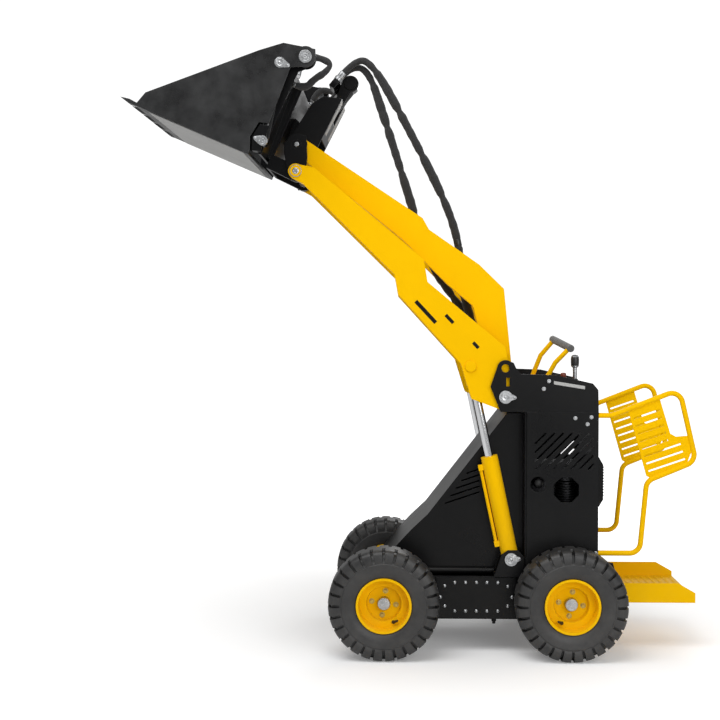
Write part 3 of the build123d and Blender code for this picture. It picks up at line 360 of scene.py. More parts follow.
def bare_metal(name, colour, drifted, rough, streak=(1.0, 1.0, 1.0), scale=60.0, depth=0.08):
    """Metal with a tone pattern stretched by streak, which drives colour, roughness and bump."""
    made, tree, shader = blank(name)
    shader.inputs["Metallic"].default_value = 1.0
    spot = add(tree, "ShaderNodeTexCoord").outputs["Object"]
    laid = add(tree, "ShaderNodeMapping", Vector=spot, Scale=streak)
    pattern = add(tree, "ShaderNodeTexNoise", Vector=laid.outputs[0], Scale=scale, Detail=5.0, Roughness=0.6)
    tone = span(tree, pattern.outputs[0], 0.3, 0.7, 0.0, 1.0)
    tree.links.new(mix_colour(tree, tone, (*colour, 1), (*drifted, 1)), shader.inputs["Base Color"])
    tree.links.new(span(tree, tone, 0.0, 1.0, rough * 0.7, rough * 1.3), shader.inputs["Roughness"])
    edges = use(tree, soft_edge, Radius=0.0015)
    skin_bump(tree, shader, depth, 0.0008, Height=tone, Normal=edges.outputs["Normal"])
    return made


zinc_plate = bare_metal("zinc_plate", (0.58, 0.59, 0.60), (0.40, 0.41, 0.42), 0.30)
gold_zinc = bare_metal("gold_zinc", (0.62, 0.45, 0.12), (0.45, 0.33, 0.10), 0.32)
hard_chrome = bare_metal("hard_chrome", (0.82, 0.83, 0.84), (0.74, 0.75, 0.76), 0.09, (1, 1, 0.2), 25.0, 0.01)
tooth_steel = bare_metal("tooth_steel", (0.34, 0.34, 0.33), (0.20, 0.20, 0.20), 0.38, (0.25, 4.0, 1.0), 14.0, 0.15)
cast_metal = bare_metal("cast_metal", (0.075, 0.075, 0.08), (0.04, 0.04, 0.042), 0.5, scale=120.0, depth=0.4)
print("metals made")

# %% [markdown]
# Soft finishes: tyre rubber with its moulded rings, the woven textile sleeve on the hoses, the closed
# cell foam of the hand grip and smooth moulded plastic. Rings and weave follow the piece's own UV map,
# so they bend with the surface.

# %% Rubber, textile, foam and plastic


def soft_finish(name, colour, lighter, rough, scale, depth, film=0.0, sheen=0.0):
    """A matt finish with a fine noise skin; film adds dust, sheen the pale rim of textile or foam."""
    made, tree, shader = blank(name)
    shader.inputs["Sheen Weight"].default_value = sheen
    skin_of = use(tree, grain, Scale=scale, Tone_Scale=9.0)
    settled = use(tree, dust, Reach=0.8, Scale=9.0)
    coat = mix_colour(tree, skin_of.outputs["Tone"], (*colour, 1), (*lighter, 1))
    veil = maths(tree, "MULTIPLY", settled.outputs["Film"], film)
    tree.links.new(mix_colour(tree, veil, coat, DUST_COLOUR), shader.inputs["Base Color"])
    gloss = span(tree, skin_of.outputs["Tone"], 0.0, 1.0, rough * 0.92, rough * 1.08)
    tree.links.new(gloss, shader.inputs["Roughness"])
    skin_bump(tree, shader, depth, 0.002, Height=skin_of.outputs["Height"])
    return made


tyre_rubber = soft_finish("tyre_rubber", (0.016, 0.016, 0.0165), (0.032, 0.032, 0.0325), 0.46, 300.0, 0.12, film=0.08)
grip_foam = soft_finish("grip_foam", (0.105, 0.105, 0.105), (0.15, 0.15, 0.147), 0.9, 700.0, 0.5, sheen=0.3)
knob_plastic = soft_finish("knob_plastic", (0.012, 0.012, 0.012), (0.018, 0.018, 0.018), 0.35, 500.0, 0.03)
choke_plastic = soft_finish("choke_plastic", (0.16, 0.03, 0.014), (0.20, 0.04, 0.018), 0.4, 500.0, 0.03)
hose_sleeve = soft_finish("hose_sleeve", (0.011, 0.011, 0.0115), (0.019, 0.019, 0.0195), 0.85, 500.0, 0.1, sheen=0.25)

# sidewall rings: a sine of the radius, kept to the band where the mould was turned
tree = tyre_rubber.node_tree
across = add(tree, "ShaderNodeSeparateXYZ", Vector=add(tree, "ShaderNodeUVMap").outputs[0]).outputs["Y"]
rings = maths(tree, "SINE", maths(tree, "MULTIPLY", across, 150.0))
band = maths(tree, "MULTIPLY", span(tree, across, 0.36, 0.38, 0.0, 1.0), span(tree, across, 0.62, 0.64, 1.0, 0.0))
tyre_bump = next(n for n in tree.nodes if n.type == "BUMP")
skin_height = tyre_bump.inputs["Height"].links[0].from_socket
tree.links.new(
    maths(tree, "ADD", skin_height, maths(tree, "MULTIPLY", maths(tree, "MULTIPLY", rings, band), 1.6)),
    tyre_bump.inputs["Height"],
)

# painted shade: the grooves are darkened in colour where the UV map's second number is below zero
low = span(tree, across, -1.0, 0.0, 1.0, 0.0)
tyre_shader = tree.nodes["Principled BSDF"]
plain = tyre_shader.inputs["Base Color"].links[0].from_socket
groove_painted_shade = mix_colour(tree, maths(tree, "MULTIPLY", low, 0.85), plain, (0.003, 0.003, 0.003, 1))
tree.links.new(groove_painted_shade, tyre_shader.inputs["Base Color"])

# textile weave: two sines crossed at 45 degrees over the sleeve's UV map
tree = hose_sleeve.node_tree
flat = add(tree, "ShaderNodeSeparateXYZ", Vector=add(tree, "ShaderNodeUVMap").outputs[0])
one_way = maths(tree, "SINE", maths(tree, "ADD", flat.outputs["X"], flat.outputs["Y"]))
other_way = maths(tree, "SINE", maths(tree, "SUBTRACT", flat.outputs["X"], flat.outputs["Y"]))
weave_bump = next(n for n in tree.nodes if n.type == "BUMP")
weave_bump.inputs["Strength"].default_value = 0.35
tree.links.new(maths(tree, "MULTIPLY", one_way, other_way), weave_bump.inputs["Height"])
print("soft finishes made")

# %% [markdown]
# Every CAD node takes the finish that the record's material slot names for it. A few have their own:
# the lever is bare, the carrier's pins are painted over, the tilt and jaw cylinders are gloss black, and
# the jaw and its teeth are scuffed by work.

# %% Finishes on the CAD nodes
FINISH = {
    "yellow_paint": yellow_paint, "black_paint": black_paint, "tyre": tyre_rubber, "zinc": zinc_plate,
    "chrome": hard_chrome, "hose_sleeve": hose_sleeve, "engine": cast_metal, "steel_edge": tooth_steel,
}
for row in frame["record"]["subparts"]:
    solid = frame["nodes"][row["node"]]
    solid.data.materials.clear()
    solid.data.materials.append(FINISH[row["material_slot"]])
OWN_FINISH = {
    "carrier_pins": black_paint, "control_lever": zinc_plate, "bucket_teeth": worn_black,
    "bucket_jaw": worn_black, "tilt_barrel": gloss_black,
    "jaw_barrel_left": gloss_black, "jaw_barrel_right": gloss_black,
}
for node, finish in OWN_FINISH.items():
    frame["nodes"][node].data.materials[0] = finish
print("CAD nodes finished:", len(frame["nodes"]))

# %% [markdown]
# All new pieces are grids. `grid_faces` joins neighbouring points into quads, `turned` spins a profile
# like a lathe, `swept` carries a round section along a line, `hull_plate` cuts a plate round a few
# discs, and `plant` copies a shape to many places. `build` turns a list of such shells into one piece.

# %% Surface helpers


def grid_faces(rows, cols, wrap_rows=False, wrap_cols=False):
    """Quads of a rows x cols grid of points; a wrapped side joins its last line to its first."""
    ids = np.arange(rows * cols).reshape(rows, cols)
    ids = np.vstack((ids, ids[:1])) if wrap_rows else ids
    ids = np.hstack((ids, ids[:, :1])) if wrap_cols else ids
    return np.stack((ids[:-1, :-1], ids[1:, :-1], ids[1:, 1:], ids[:-1, 1:]), -1).reshape(-1, 4)


def turned(profile, sides=24, spin=0.0):
    """Lathe: each (radius, height) of the profile goes round Z; point = (r cos t, r sin t, h)."""
    r, h = np.asarray(profile, float).T
    t = 2 * np.pi * np.arange(sides) / sides + spin
    points = np.stack((np.outer(r, np.cos(t)), np.outer(r, np.sin(t)), np.repeat(h[:, None], sides, 1)), -1)
    return points.reshape(-1, 3), grid_faces(len(r), sides, wrap_cols=True)


def swept(line, radius, sides=12):
    """A round tube: at each point of the line a circle in the plane square to it, with closed ends."""
    line = np.asarray(line, float)
    way = np.gradient(line, axis=0)
    way /= np.linalg.norm(way, axis=1, keepdims=True)
    spare = np.cross(way, (0.0, 1.0, 0.0))
    spare = np.where(np.linalg.norm(spare, axis=1, keepdims=True) < 0.2, np.cross(way, (1.0, 0.0, 0.0)), spare)
    spare /= np.linalg.norm(spare, axis=1, keepdims=True)
    third = np.cross(way, spare)
    r = np.broadcast_to(np.asarray(radius, float), len(line)).copy()
    r = np.concatenate(([0.0], r, [0.0]))
    line = np.vstack((line[:1], line, line[-1:]))
    spare = np.vstack((spare[:1], spare, spare[-1:]))
    third = np.vstack((third[:1], third, third[-1:]))
    t = 2 * np.pi * np.arange(sides) / sides
    ring = np.cos(t)[None, :, None] * spare[:, None] + np.sin(t)[None, :, None] * third[:, None]
    points = line[:, None] + r[:, None, None] * ring
    return points.reshape(-1, 3), grid_faces(len(line), sides, wrap_cols=True)


def hull_plate(discs, thick, lip=1.0, sides=48):
    """A plate whose outline is a band round discs (x, y, r): for each direction, the disc reaching furthest."""
    x, y, r = np.asarray(discs, float).T
    t = 2 * np.pi * np.arange(sides) / sides
    reach = np.outer(np.cos(t), x) + np.outer(np.sin(t), y) + r
    far = reach.argmax(1)
    edge = np.stack((x[far] + r[far] * np.cos(t), y[far] + r[far] * np.sin(t)), -1)
    middle = edge.mean(0)
    inset = edge - lip * np.stack((np.cos(t), np.sin(t)), -1)
    rings = ((middle[None].repeat(sides, 0), 0.0), (edge, 0.0), (edge, thick - lip), (inset, thick))
    rings += ((middle[None].repeat(sides, 0), thick),)
    points = np.stack([np.column_stack((ring, np.full(sides, h))) for ring, h in rings])
    return points.reshape(-1, 3), grid_faces(len(rings), sides, wrap_cols=True)


def plant(shell, spots, axis=(0.0, 1.0, 0.0), lead=(1.0, 0.0, 0.0)):
    """A copy at each spot, its own Z along axis and its own X along lead."""
    verts, faces = shell
    z = np.asarray(axis, float) / np.linalg.norm(axis)
    x = np.asarray(lead, float) - z * np.dot(lead, z)
    x /= np.linalg.norm(x)
    basis = np.array((x, np.cross(z, x), z))
    spots = np.asarray(spots, float).reshape(-1, 3)
    moved = (verts @ basis)[None] + spots[:, None]
    copies = faces[None] + len(verts) * np.arange(len(spots))[:, None, None]
    return moved.reshape(-1, 3), copies.reshape(-1, 4)


def mirrored(shell):
    """The same shell on the other side of the machine."""
    return shell[0] * np.array((1.0, -1.0, 1.0)), shell[1][:, ::-1]


def both_sides(*shells):
    """The shells, and each again on the other side."""
    return list(shells) + [mirrored(s) for s in shells]


def build(name, view, shells, finish, body, sharp=35.0, uv=None):
    """Joins shells of millimetre points into one mesh piece at the origin, riding on a body."""
    counts = np.cumsum([0] + [len(v) for v, f in shells])
    verts = view(np.vstack([v for v, f in shells]))
    faces = np.vstack([f + start for (v, f), start in zip(shells, counts)])
    mesh = bpy.data.meshes.new(name)
    mesh.from_pydata(verts, [], faces.tolist())
    if uv is not None:
        mesh.uv_layers.new(name="UVMap").data.foreach_set("uv", uv.astype(np.float32).ravel())
    tidy = bmesh.new()
    tidy.from_mesh(mesh)
    bmesh.ops.remove_doubles(tidy, verts=tidy.verts, dist=1e-6)
    bmesh.ops.recalc_face_normals(tidy, faces=tidy.faces)
    tidy.to_mesh(mesh)
    tidy.free()
    mesh.polygons.foreach_set("use_smooth", np.ones(len(mesh.polygons), bool))
    mesh.set_sharp_from_angle(angle=math.radians(sharp))
    mesh.materials.append(finish)
    made = bpy.data.objects.new(name, mesh)
    bpy.context.scene.collection.objects.link(made)
    if body:
        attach(made, body)
    return made


# %% [markdown]
# The hoses run in woven sleeves from the block on the tilt cylinder, over a crest and down between the
# arms to the bulkhead. Each route is one smooth spline drawn from a few control points. It is cut in two
# at a clamp half way, and the clamp rides on the boom.

# %% Hose routes
PORT_U, PORT_V = 30.0, 43.0
TILT_TOP, TILT_EYE = (-217.0, 403.0), (-23.0, 170.0)
TILT_TURN = math.atan2(TILT_EYE[1] - TILT_TOP[1], TILT_EYE[0] - TILT_TOP[0])
TILT_PIN = np.array((FRONT_PIN[0] + TILT_TOP[0], FRONT_PIN[1] + TILT_TOP[1]))
PORT = TILT_PIN + (
    PORT_U * math.cos(TILT_TURN) - PORT_V * math.sin(TILT_TURN),
    PORT_U * math.sin(TILT_TURN) + PORT_V * math.cos(TILT_TURN),
)
HOSE_R, CORE_IN, BULKHEAD_FACE = 13.0, 156.0, -202.0  # CORE_IN: half the room between the inner plates
TIE_GAP, TIE_REACH = 0.2, 0.014  # metres along the hose
SLEEVE_SIDES, WEAVE_ALONG, WEAVE_ROUND = 20, 1500.0, 10  # weave: radians a metre, waves round
HOSES = (
    # name, across, run up from the block, run over the crest, its slope, end height, (share of boom, above it)
    ("upper", 0.673 * CORE_IN, 110.0, 75.0, 185.0, 1075.0,
     ((0.896, 490), (0.607, 386), (0.47, 306), (0.38, 207), (0.24, 106), (0.111, 49))),
    ("lower", 0.481 * CORE_IN, 80.0, 80.0, 187.0, 1040.0,
     ((0.954, 440), (0.776, 333), (0.481, 151), (0.335, 130), (0.178, 88), (0.069, 33))),
)


def smooth_line(points):
    """The points of a NURBS spline of order 3 that has these control points and meets both ends."""
    curve = bpy.data.curves.new("route", "CURVE")
    curve.dimensions = "3D"
    curve.resolution_u = 24
    spline = curve.splines.new("NURBS")
    spline.points.add(len(points) - 1)
    spline.points.foreach_set("co", np.column_stack((points, np.ones(len(points)))).ravel())
    spline.order_u = 3
    spline.use_endpoint_u = True
    holder = bpy.data.objects.new("route", curve)
    bpy.context.scene.collection.objects.link(holder)
    bpy.context.view_layer.update()
    mesh = bpy.data.meshes.new_from_object(holder.evaluated_get(bpy.context.evaluated_depsgraph_get()))
    line = np.zeros(len(mesh.vertices) * 3)
    mesh.vertices.foreach_get("co", line)
    bpy.data.objects.remove(holder)
    bpy.data.curves.remove(curve)
    bpy.data.meshes.remove(mesh)
    return line.reshape(-1, 3)


def sleeve(name, line, snug, body=None, share=1.0):
    """A hose in its baggy sleeve, of a share of the main hoses' width.

    The radius is the hose's own at each tie. Away from a tie it grows by one less a bell curve of the
    distance, times a slow sine, and products of sines pucker it. Over the first stretch, snug, it stays
    close to the hose, because the other sleeve lies beside it there.
    """
    run = np.concatenate(([0.0], np.cumsum(np.linalg.norm(np.diff(line, axis=0), axis=1))))
    gap = run[-1] / round(run[-1] / TIE_GAP)
    off = np.abs((run + gap / 2) % gap - gap / 2)
    baggy = (1 - np.exp(-((off / TIE_REACH) ** 2))) * np.clip(run / snug - 0.3, 0.1, 1.0)
    folds = np.sin(run * 118) * np.sin(run * 31 + 1)
    swell = baggy * (0.40 + 0.09 * np.sin(run * 17 + 2) + 0.09 * folds)
    pucker = share * HOSE_R / 1000 * (0.99 + swell + 0.02 * np.sin(run * 260))
    verts, faces = swept(line, pucker, SLEEVE_SIDES)
    bands = len(line) + 1
    run = np.concatenate((run[:1], run, run[-1:]))
    corner_rows = np.repeat(np.arange(bands), SLEEVE_SIDES)[:, None] + np.array((0, 1, 1, 0))
    corner_cols = np.tile(np.arange(SLEEVE_SIDES), bands)[:, None] + np.array((0, 0, 1, 1))
    uv = np.stack((run[corner_rows] * WEAVE_ALONG, corner_cols * 2 * np.pi / SLEEVE_SIDES * WEAVE_ROUND), -1)
    made = build(name, lambda p: p, [(verts, faces)], hose_sleeve, body, 60.0, uv)
    return made


CLAMP = turned(((0, -16), (15.5, -16), (16.5, -14), (16.5, 14), (15.5, 16), (0, 16)), 20)
LEVEL_RUN = 92  # straight into the bulkhead
for name, across, rise, over, slope, low, along in HOSES:
    crest = PORT + rise * np.array((-math.cos(TILT_TURN), -math.sin(TILT_TURN)))
    ahead = crest + over * np.array((math.cos(math.radians(slope)), math.sin(math.radians(slope))))
    share, above = np.array(along).T
    run_x = PIVOT[0] + share * BOOM_L * math.cos(UP) - above * math.sin(UP)
    run_z = PIVOT[1] + share * BOOM_L * math.sin(UP) + above * math.cos(UP)
    x = np.concatenate(([PORT[0], crest[0], ahead[0]], run_x, [BULKHEAD_FACE + LEVEL_RUN, BULKHEAD_FACE]))
    z = np.concatenate(([PORT[1], crest[1], ahead[1]], run_z, [low, low]))
    line = smooth_line(GROUND(np.column_stack((x, np.full(len(x), across), z))))
    cut = len(line) // 2
    upper = sleeve(f"hose_{name}_head", line[: cut + 1], 0.2)
    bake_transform(upper)
    lower = sleeve(f"hose_{name}_tail", line[cut:], 0.02)
    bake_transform(lower)
    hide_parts(f"hose_{name}")
    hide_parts(f"hose_{name}")
    clamp_way = line[cut + 1] - line[cut - 1]
    clamp = plant(CLAMP, line[cut] * 1000, clamp_way)
    build(f"hose_{name}_clamp", lambda p: p / 1000, [clamp], knob_plastic, "boom")
    print(f"hose_{name}: {len(line)} points")

# %% [markdown]
# The tyres are the largest soft shape, so each is one grid: stations across the half section, steps
# round the wheel. Every station has two places, one on top of a lug and one in the groove between lugs,
# and a mask round the wheel picks between them. The two shoulders are half a pitch apart, which gives
# the tread its zigzag. A bump could fake the lugs, but not the toothed outline against the sky.

# %% Tyres
WHEEL_X, AXLE_Z, WHEEL_Y = 380.5, 227.0, 412.5
LUGS = 28  # a side
BEAD_R, WALL_H = 109, 118  # the tyre's bore, and from there to the tread
STEPS = np.array((0.0, 0.115, 0.145, 0.355, 0.385, 0.5, 0.615, 0.645, 0.855, 0.885))  # shares of one pitch
STATIONS = np.array((
    # groove: half width, radius; lug: half width, radius
    (66, 109, 66, 109), (70, 113, 70, 113), (76, 121, 76, 121), (82, 134, 82, 134), (86, 150, 86, 150),
    (87, 165, 87, 165), (87.4, 168, 87.4, 168), (87.4, 171, 87.4, 171), (85.6, 173, 85.6, 173),
    (85.4, 178, 85.6, 178), (82, 181, 87.2, 181), (78, 190, 87, 192), (74, 198, 85.5, 203), (69, 205, 82, 213),
    (63, 210, 76, 220), (56, 213, 68, 224.5), (47, 214.5, 56, 226.5), (36, 215.5, 40, 227), (24, 216, 25, 227),
    (20, 227, 20, 227), (0, 227, 0, 227),
))
WHEELS = (("front_left", 1, 1), ("front_right", 1, -1), ("rear_left", -1, 1), ("rear_right", -1, -1))


def tyre_shell(hub):
    """Point(t, k) = hub + (r cos t, w, r sin t), with (w, r) of station k taken in the groove or on the lug.

    UV: angle t, and the share of the way from bead to tread, less 2 in a groove.
    """
    phase = np.tile(STEPS, LUGS)
    t = 2 * np.pi / LUGS * (np.repeat(np.arange(LUGS), len(STEPS)) + phase - 0.25)
    halves = []
    for side, centre in ((1, 0.25), (-1, 0.75)):
        on_lug = (np.abs(phase - centre) > 0.12)[:, None]
        w = np.where(on_lug, STATIONS[:, 2], STATIONS[:, 0]) * side
        r = np.where(on_lug, STATIONS[:, 3], STATIONS[:, 1])
        halves.append((w, r))
    w = np.hstack((halves[0][0], halves[1][0][:, -2::-1]))
    r = np.hstack((halves[0][1], halves[1][1][:, -2::-1]))
    points = np.stack((r * np.cos(t)[:, None], w, r * np.sin(t)[:, None]), -1) + hub
    faces = grid_faces(*w.shape, wrap_rows=True, wrap_cols=True)
    in_groove = np.abs(w) < np.hstack((STATIONS[:, 2], STATIONS[-2::-1, 2])) - 0.5
    turn = np.repeat(t[:, None], w.shape[1], 1).ravel()
    high = ((r - BEAD_R) / WALL_H - 2.0 * in_groove).ravel()
    return points.reshape(-1, 3), faces, np.column_stack((turn[faces.ravel()], high[faces.ravel()]))


for name, end, hand in WHEELS:
    verts, faces, uv = tyre_shell(np.array((end * WHEEL_X, hand * WHEEL_Y, AXLE_Z)))
    tread = build(f"tread_{name}", GROUND, [(verts, faces)], tyre_rubber, f"wheel_{name}", 40.0, uv)
    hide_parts(f"tyre_{name}")
print("tyre faces:", len(faces))

# %% [markdown]
# Fasteners repeat all over the machine, so three shapes are turned once and planted many times: a hex
# bolt on its washer (a lathe with six sides is a hexagon), a domed screw, and the tyre valve.

# %% Wheel bolts, nuts and valves
def hex_bolt(r, high):
    """A washer with a bevelled hexagon on it; r is the hexagon's corner radius."""
    washer = turned(((0, 0), (1.45 * r, 0), (1.5 * r, 0.4), (1.5 * r, 1.6), (1.45 * r, 2.0), (0, 2.0)), 20)
    head = turned(((0, 1.9), (r, 1.9), (r, high - 1.2), (0.86 * r, high), (0.5 * r, high), (0, high - 0.3)), 6)
    return np.vstack((washer[0], head[0])), np.vstack((washer[1], head[1] + len(washer[0])))


def domed_screw(r):
    """A flat collar under a round head: height = 0.62 r cos(a) against radius = r sin(a)."""
    a = np.linspace(np.pi / 2, 0.0, 5)
    dome = np.column_stack((r * np.sin(a), 0.8 + 0.62 * r * np.cos(a)))
    return turned(np.vstack(((0, 0), (1.15 * r, 0), (1.15 * r, 0.8), dome)), 14)


VALVE = ((0, 0), (7, 0), (8, 3), (6, 8), (5.2, 22), (4, 24), (4.6, 25), (4.6, 32), (3.6, 34), (0, 34))
BOLT_CIRCLE, VALVE_CIRCLE = 50, 84
around = np.radians(8 + 90 * np.arange(4))
for name, end, hand in WHEELS:
    face = np.array((end * WHEEL_X, hand * (WHEEL_Y + 2.2), AXLE_Z))
    ring = face + np.column_stack((BOLT_CIRCLE * np.cos(around), 0 * around, BOLT_CIRCLE * np.sin(around)))
    out = (0.0, hand, 0.0)
    bolts = plant(hex_bolt(7.5, 9.0), ring, out)
    build(f"bolts_{name}", GROUND, [bolts], gold_zinc, f"wheel_{name}")
    down = np.array((-end * 0.45, 0.0, -0.893)) * VALVE_CIRCLE + (0.0, hand * 23.0, 0.0)
    lean = (-end * 0.55, hand * 0.75, 0.35)
    valve = plant(turned(VALVE, 12), face + down, lean)
    build(f"valve_{name}", GROUND, [valve], knob_plastic, f"wheel_{name}")
CAP = ((0, 0), (27, 0), (27, 20), (26, 25), (24, 27.5), (19, 28.2), (18, 26.8), (14, 26.4), (13, 28.4))
CAP += ((6, 29.2), (5, 27.6), (0, 27.4))
spots = [(x, WHEEL_Y + 2.4, AXLE_Z) for x in (WHEEL_X, -WHEEL_X)]
build("hub_caps", GROUND, both_sides(plant(turned(CAP, 32), spots)), zinc_plate, "chassis")
print("wheel bolts:", len(WHEELS) * len(around))

# %% [markdown]
# The chain covers are held by rows of domed screws; the housing and the console by hex bolts. Their
# places are read off the side view, and one call mirrors each set to the other side.

# %% Screws on the body
COVER_Y, PANEL_Y, EAR_Y = 308.2, 318.2, 260.2  # outer faces of chain cover, side panels and platform ears
COVER_AT = [(x, z) for z in (291, 172) for x in (87, 42, -3, -47, -92)]
COVER_AT += [(129, 277), (129, 192), (-133.5, 275), (-133.5, 193), (-151, 230), (147, 230)]
PANEL_AT = [(-408, 977), (-474, 981), (-458, 952), (-495, 418), (-299, 1130), (-277.5, 1098)]
FASTENERS = (
    ("cover_screws", domed_screw(6.0), COVER_AT, COVER_Y),
    ("panel_bolts", hex_bolt(5.5, 6.0), PANEL_AT, PANEL_Y),
    ("stand_bolts", hex_bolt(9.0, 8.0), [(-554, 350)], EAR_Y),
)
for name, shape, places, y in FASTENERS:
    spots = [(x, y, z) for x, z in places]
    build(name, GROUND, both_sides(plant(shape, spots)), zinc_plate, "chassis")
    print(f"{name}: {2 * len(spots)}")

# %% [markdown]
# Pins are kept from turning by teardrop plates: a large disc round the pin, a small one round a screw,
# and the band between them. `hull_plate` finds that outline for any set of discs.

# %% Pin keepers


def keeper(pin, big, away, small, y, thick):
    """A teardrop on the plane y from a disc round the pin to a small one at away, with a collar and a screw."""
    plate = plant(hull_plate(((0, 0, big), (away[0], -away[1], small)), thick), (pin[0], y, pin[1]))
    collar = turned(((15, 0), (15, 0.8), (12, 0.8), (11, 0.2), (6, 0.2), (5, 1.6), (2.5, 3.0), (0, 3.2)), 24)
    screw = plant(domed_screw(0.55 * small), (pin[0] + away[0], y + thick, pin[1] + away[1]))
    return [plate, plant(collar, (pin[0], y + thick, pin[1])), screw]


JAW_HINGE, JAW_FOOT, JAW_EYE = (120.0, 417.0), (145.0, 44.0), (205.0, 356.0)
SKIN_Y, ARM_Y, CHEEK_Y = 510.1, 303.1, 238.1  # outer faces of bucket side, boom arm and carrier cheek
LIFT_BASE, LIFT_EYE = (-146.0, 389.0), (190.0, -19.0)
pivot_keepers = keeper(PIVOT, 21.5, (-37, -2), 8, 318.1, 6.4)
foot_keepers = keeper(LIFT_BASE, 21.0, (-32, 3), 8, 316.1, 8.3)
build("frame_keepers", GROUND, both_sides(*pivot_keepers, *foot_keepers), zinc_plate, "chassis")
HINGE_PIN = ((0, 436), (20, 436), (20, 442), (12, 442), (12, 510.5), (26, 510.5), (26, 515.3), (25, 516.4), (17, 516.4))
HINGE_PIN += ((16, 514.4), (13.5, 514.4), (12.5, 516.4), (7, 516.4), (6, 514.2), (4, 514.2), (3.5, 515.6), (0, 516))
FOOT_PIN = ((0, 442), (12, 442), (12, 510), (20, 510), (20, 515), (19.3, 515.9), (13, 515.9), (12, 514), (9.5, 514))
FOOT_PIN += ((8.5, 515.9), (4, 515.9), (3.4, 514.6), (0, 514.6))
pins = [plant(turned(HINGE_PIN, 36), (JAW_HINGE[0], 0, JAW_HINGE[1]))]
pins += [plant(turned(FOOT_PIN, 32), (JAW_FOOT[0], 0, JAW_FOOT[1]))]
pins += keeper(JAW_FOOT, 20.6, (31, -2), 8, SKIN_Y, 2.6)[::2]
turned_pins = build("turned_pins", BUCKET, both_sides(*pins), zinc_plate, "hitch")
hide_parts("bucket_pins")
eye = keeper(JAW_EYE, 20.6, (-35, 2), 8, SKIN_Y, 2.6)
build("jaw_eye_keepers", BUCKET, both_sides(*eye), zinc_plate, "jaw")
eye_ring = turned(((13.6, 0), (24, 0), (24, 4), (22, 6.6), (15, 7.0), (13.6, 6.2)), 36)
eye_cap = turned(((24, 0), (24, 4), (22, 6.6), (12, 7.2), (0, 7.2)), 36)
arm_eyes = [plant(eye_ring, (BOOM_L, ARM_Y, 0)), plant(eye_cap, (LIFT_EYE[0], ARM_Y, LIFT_EYE[1]))]
build("arm_eyes", BOOM, both_sides(*arm_eyes), yellow_paint, "boom")
heads = plant(turned(((13.4, 0), (13.4, 1.2), (12, 2), (8, 2), (7, 1), (0, 1)), 28), (BOOM_L, 308.9, 0))
build("arm_pin_heads", BOOM, both_sides(heads), zinc_plate, "boom")
link_heads = plant(turned(((0, 0), (10, 0), (10, 2.6), (9, 3.6), (4, 3.9), (0, 3.9)), 24), (0, CHEEK_Y, LINK_RISE))
build("link_pin_heads", HEAD, both_sides(link_heads), zinc_plate, "carrier")
print("keepers made")

# %% [markdown]
# The controls on the console: a foam grip over the handle's bar, a boot and a knob on the lever, a pull
# knob, and a pale strip on the side plate. All but the strip are lathe shapes, closed at both ends.

# %% Grip, knobs and boot
GRIP_FAR, GRIP_NEAR = np.array((-361.0, -60.0, 1294.0)), np.array((-410.0, 100.0, 1262.0))
along = GRIP_NEAR - GRIP_FAR
reach = np.linalg.norm(along)
ends = np.linspace(0.0, np.pi / 2, 5)
foam = [(0.0, -17.0), (12.0, -17.0)] + [(14.2 + 1.8 * np.sin(a), -16.5 + 3 * (1 - np.cos(a))) for a in ends]
foam += [(r, reach - h) for r, h in foam[::-1]]
build("grip_sleeve", GROUND, [plant(turned(foam, 24), GRIP_FAR, along)], grip_foam, "chassis")
LEVER = (-420.0, 200.0)
KNOB = ((0, 1182), (9.6, 1182), (13, 1184), (16.4, 1190), (17.4, 1204), (17.4, 1216), (16.4, 1226), (12, 1233))
KNOB += ((6, 1235.5), (0, 1236))
BOOT = ((0, 1104), (24, 1104), (24, 1112), (18, 1114), (21, 1118), (16, 1121), (18, 1125), (13, 1128), (14, 1132))
BOOT += ((9.4, 1136), (0, 1136))
up = (0.0, 0.0, 1.0)
lever_cap = [plant(turned(KNOB, 24), (*LEVER, 0), up), plant(turned(BOOT, 24), (*LEVER, 0), up)]
build("lever_cap", GROUND, lever_cap, knob_plastic, "chassis")
PULL = ((0, 1114), (5, 1114), (5, 1138), (9, 1140), (12, 1146), (12, 1156), (9, 1161), (0, 1162))
build("pull_knob", GROUND, [plant(turned(PULL, 20), (-368, 230, 0), up)], choke_plastic, "chassis")
strip = hull_plate([(x, -0.16 * x + h, 2) for x in (-62, 62) for h in (-5, 5)], 0.8, 0.3)
build("control_strip", GROUND, [plant(strip, (-383, 318.1, 1113))], grey_paint_and_reflection, "chassis")
print("controls dressed")

# %% [markdown]
# Inside the housing the eight-sided window shows a finned engine cylinder, and the round hole beside it
# an oil filter. Fins are a lathe profile that steps in and out. The cooler at the rear gets its slats.

# %% Engine, filter and cooler
fin = np.array(((34.0, 0.0), (48.0, 1.5), (48.0, 4.0), (34.0, 5.5)))
stack = np.vstack([fin + (0.0, 11.0 * k) for k in range(9)])
cylinder = np.vstack(((0.0, -2.0), (34.0, -2.0), stack, (40.0, 98.0), (40.0, 118.0), (0.0, 118.0)))
post = turned(((0, 0), (11, 0), (11, 90), (14, 92), (14, 108), (0, 108)), 16)
engine = [plant(turned(cylinder, 28), (-386, 196, 610), (0, 0, 1)), plant(post, (-340, 170, 640), (0, 0, 1))]
build("engine_fins", GROUND, both_sides(*engine), cast_metal, "chassis")
FILTER = ((0, 0), (24, 0), (24, 6), (22, 8), (22, 112), (18, 122), (9, 126), (0, 126))
build("oil_filter", GROUND, both_sides(plant(turned(FILTER, 28), (-264, 150, 702))), knob_plastic, "chassis")
SLAT = ((-547.0, -150), (-549.0, -148), (-549.0, 148), (-547.0, 150))  # its line from above, ends bent in
slats = [swept([(x, y, z) for x, y in SLAT], 3.0, 8) for z in range(636, 760, 12)]
build("cooler_slats", GROUND, slats, black_paint, "chassis", 60.0)
print("slats:", len(slats))
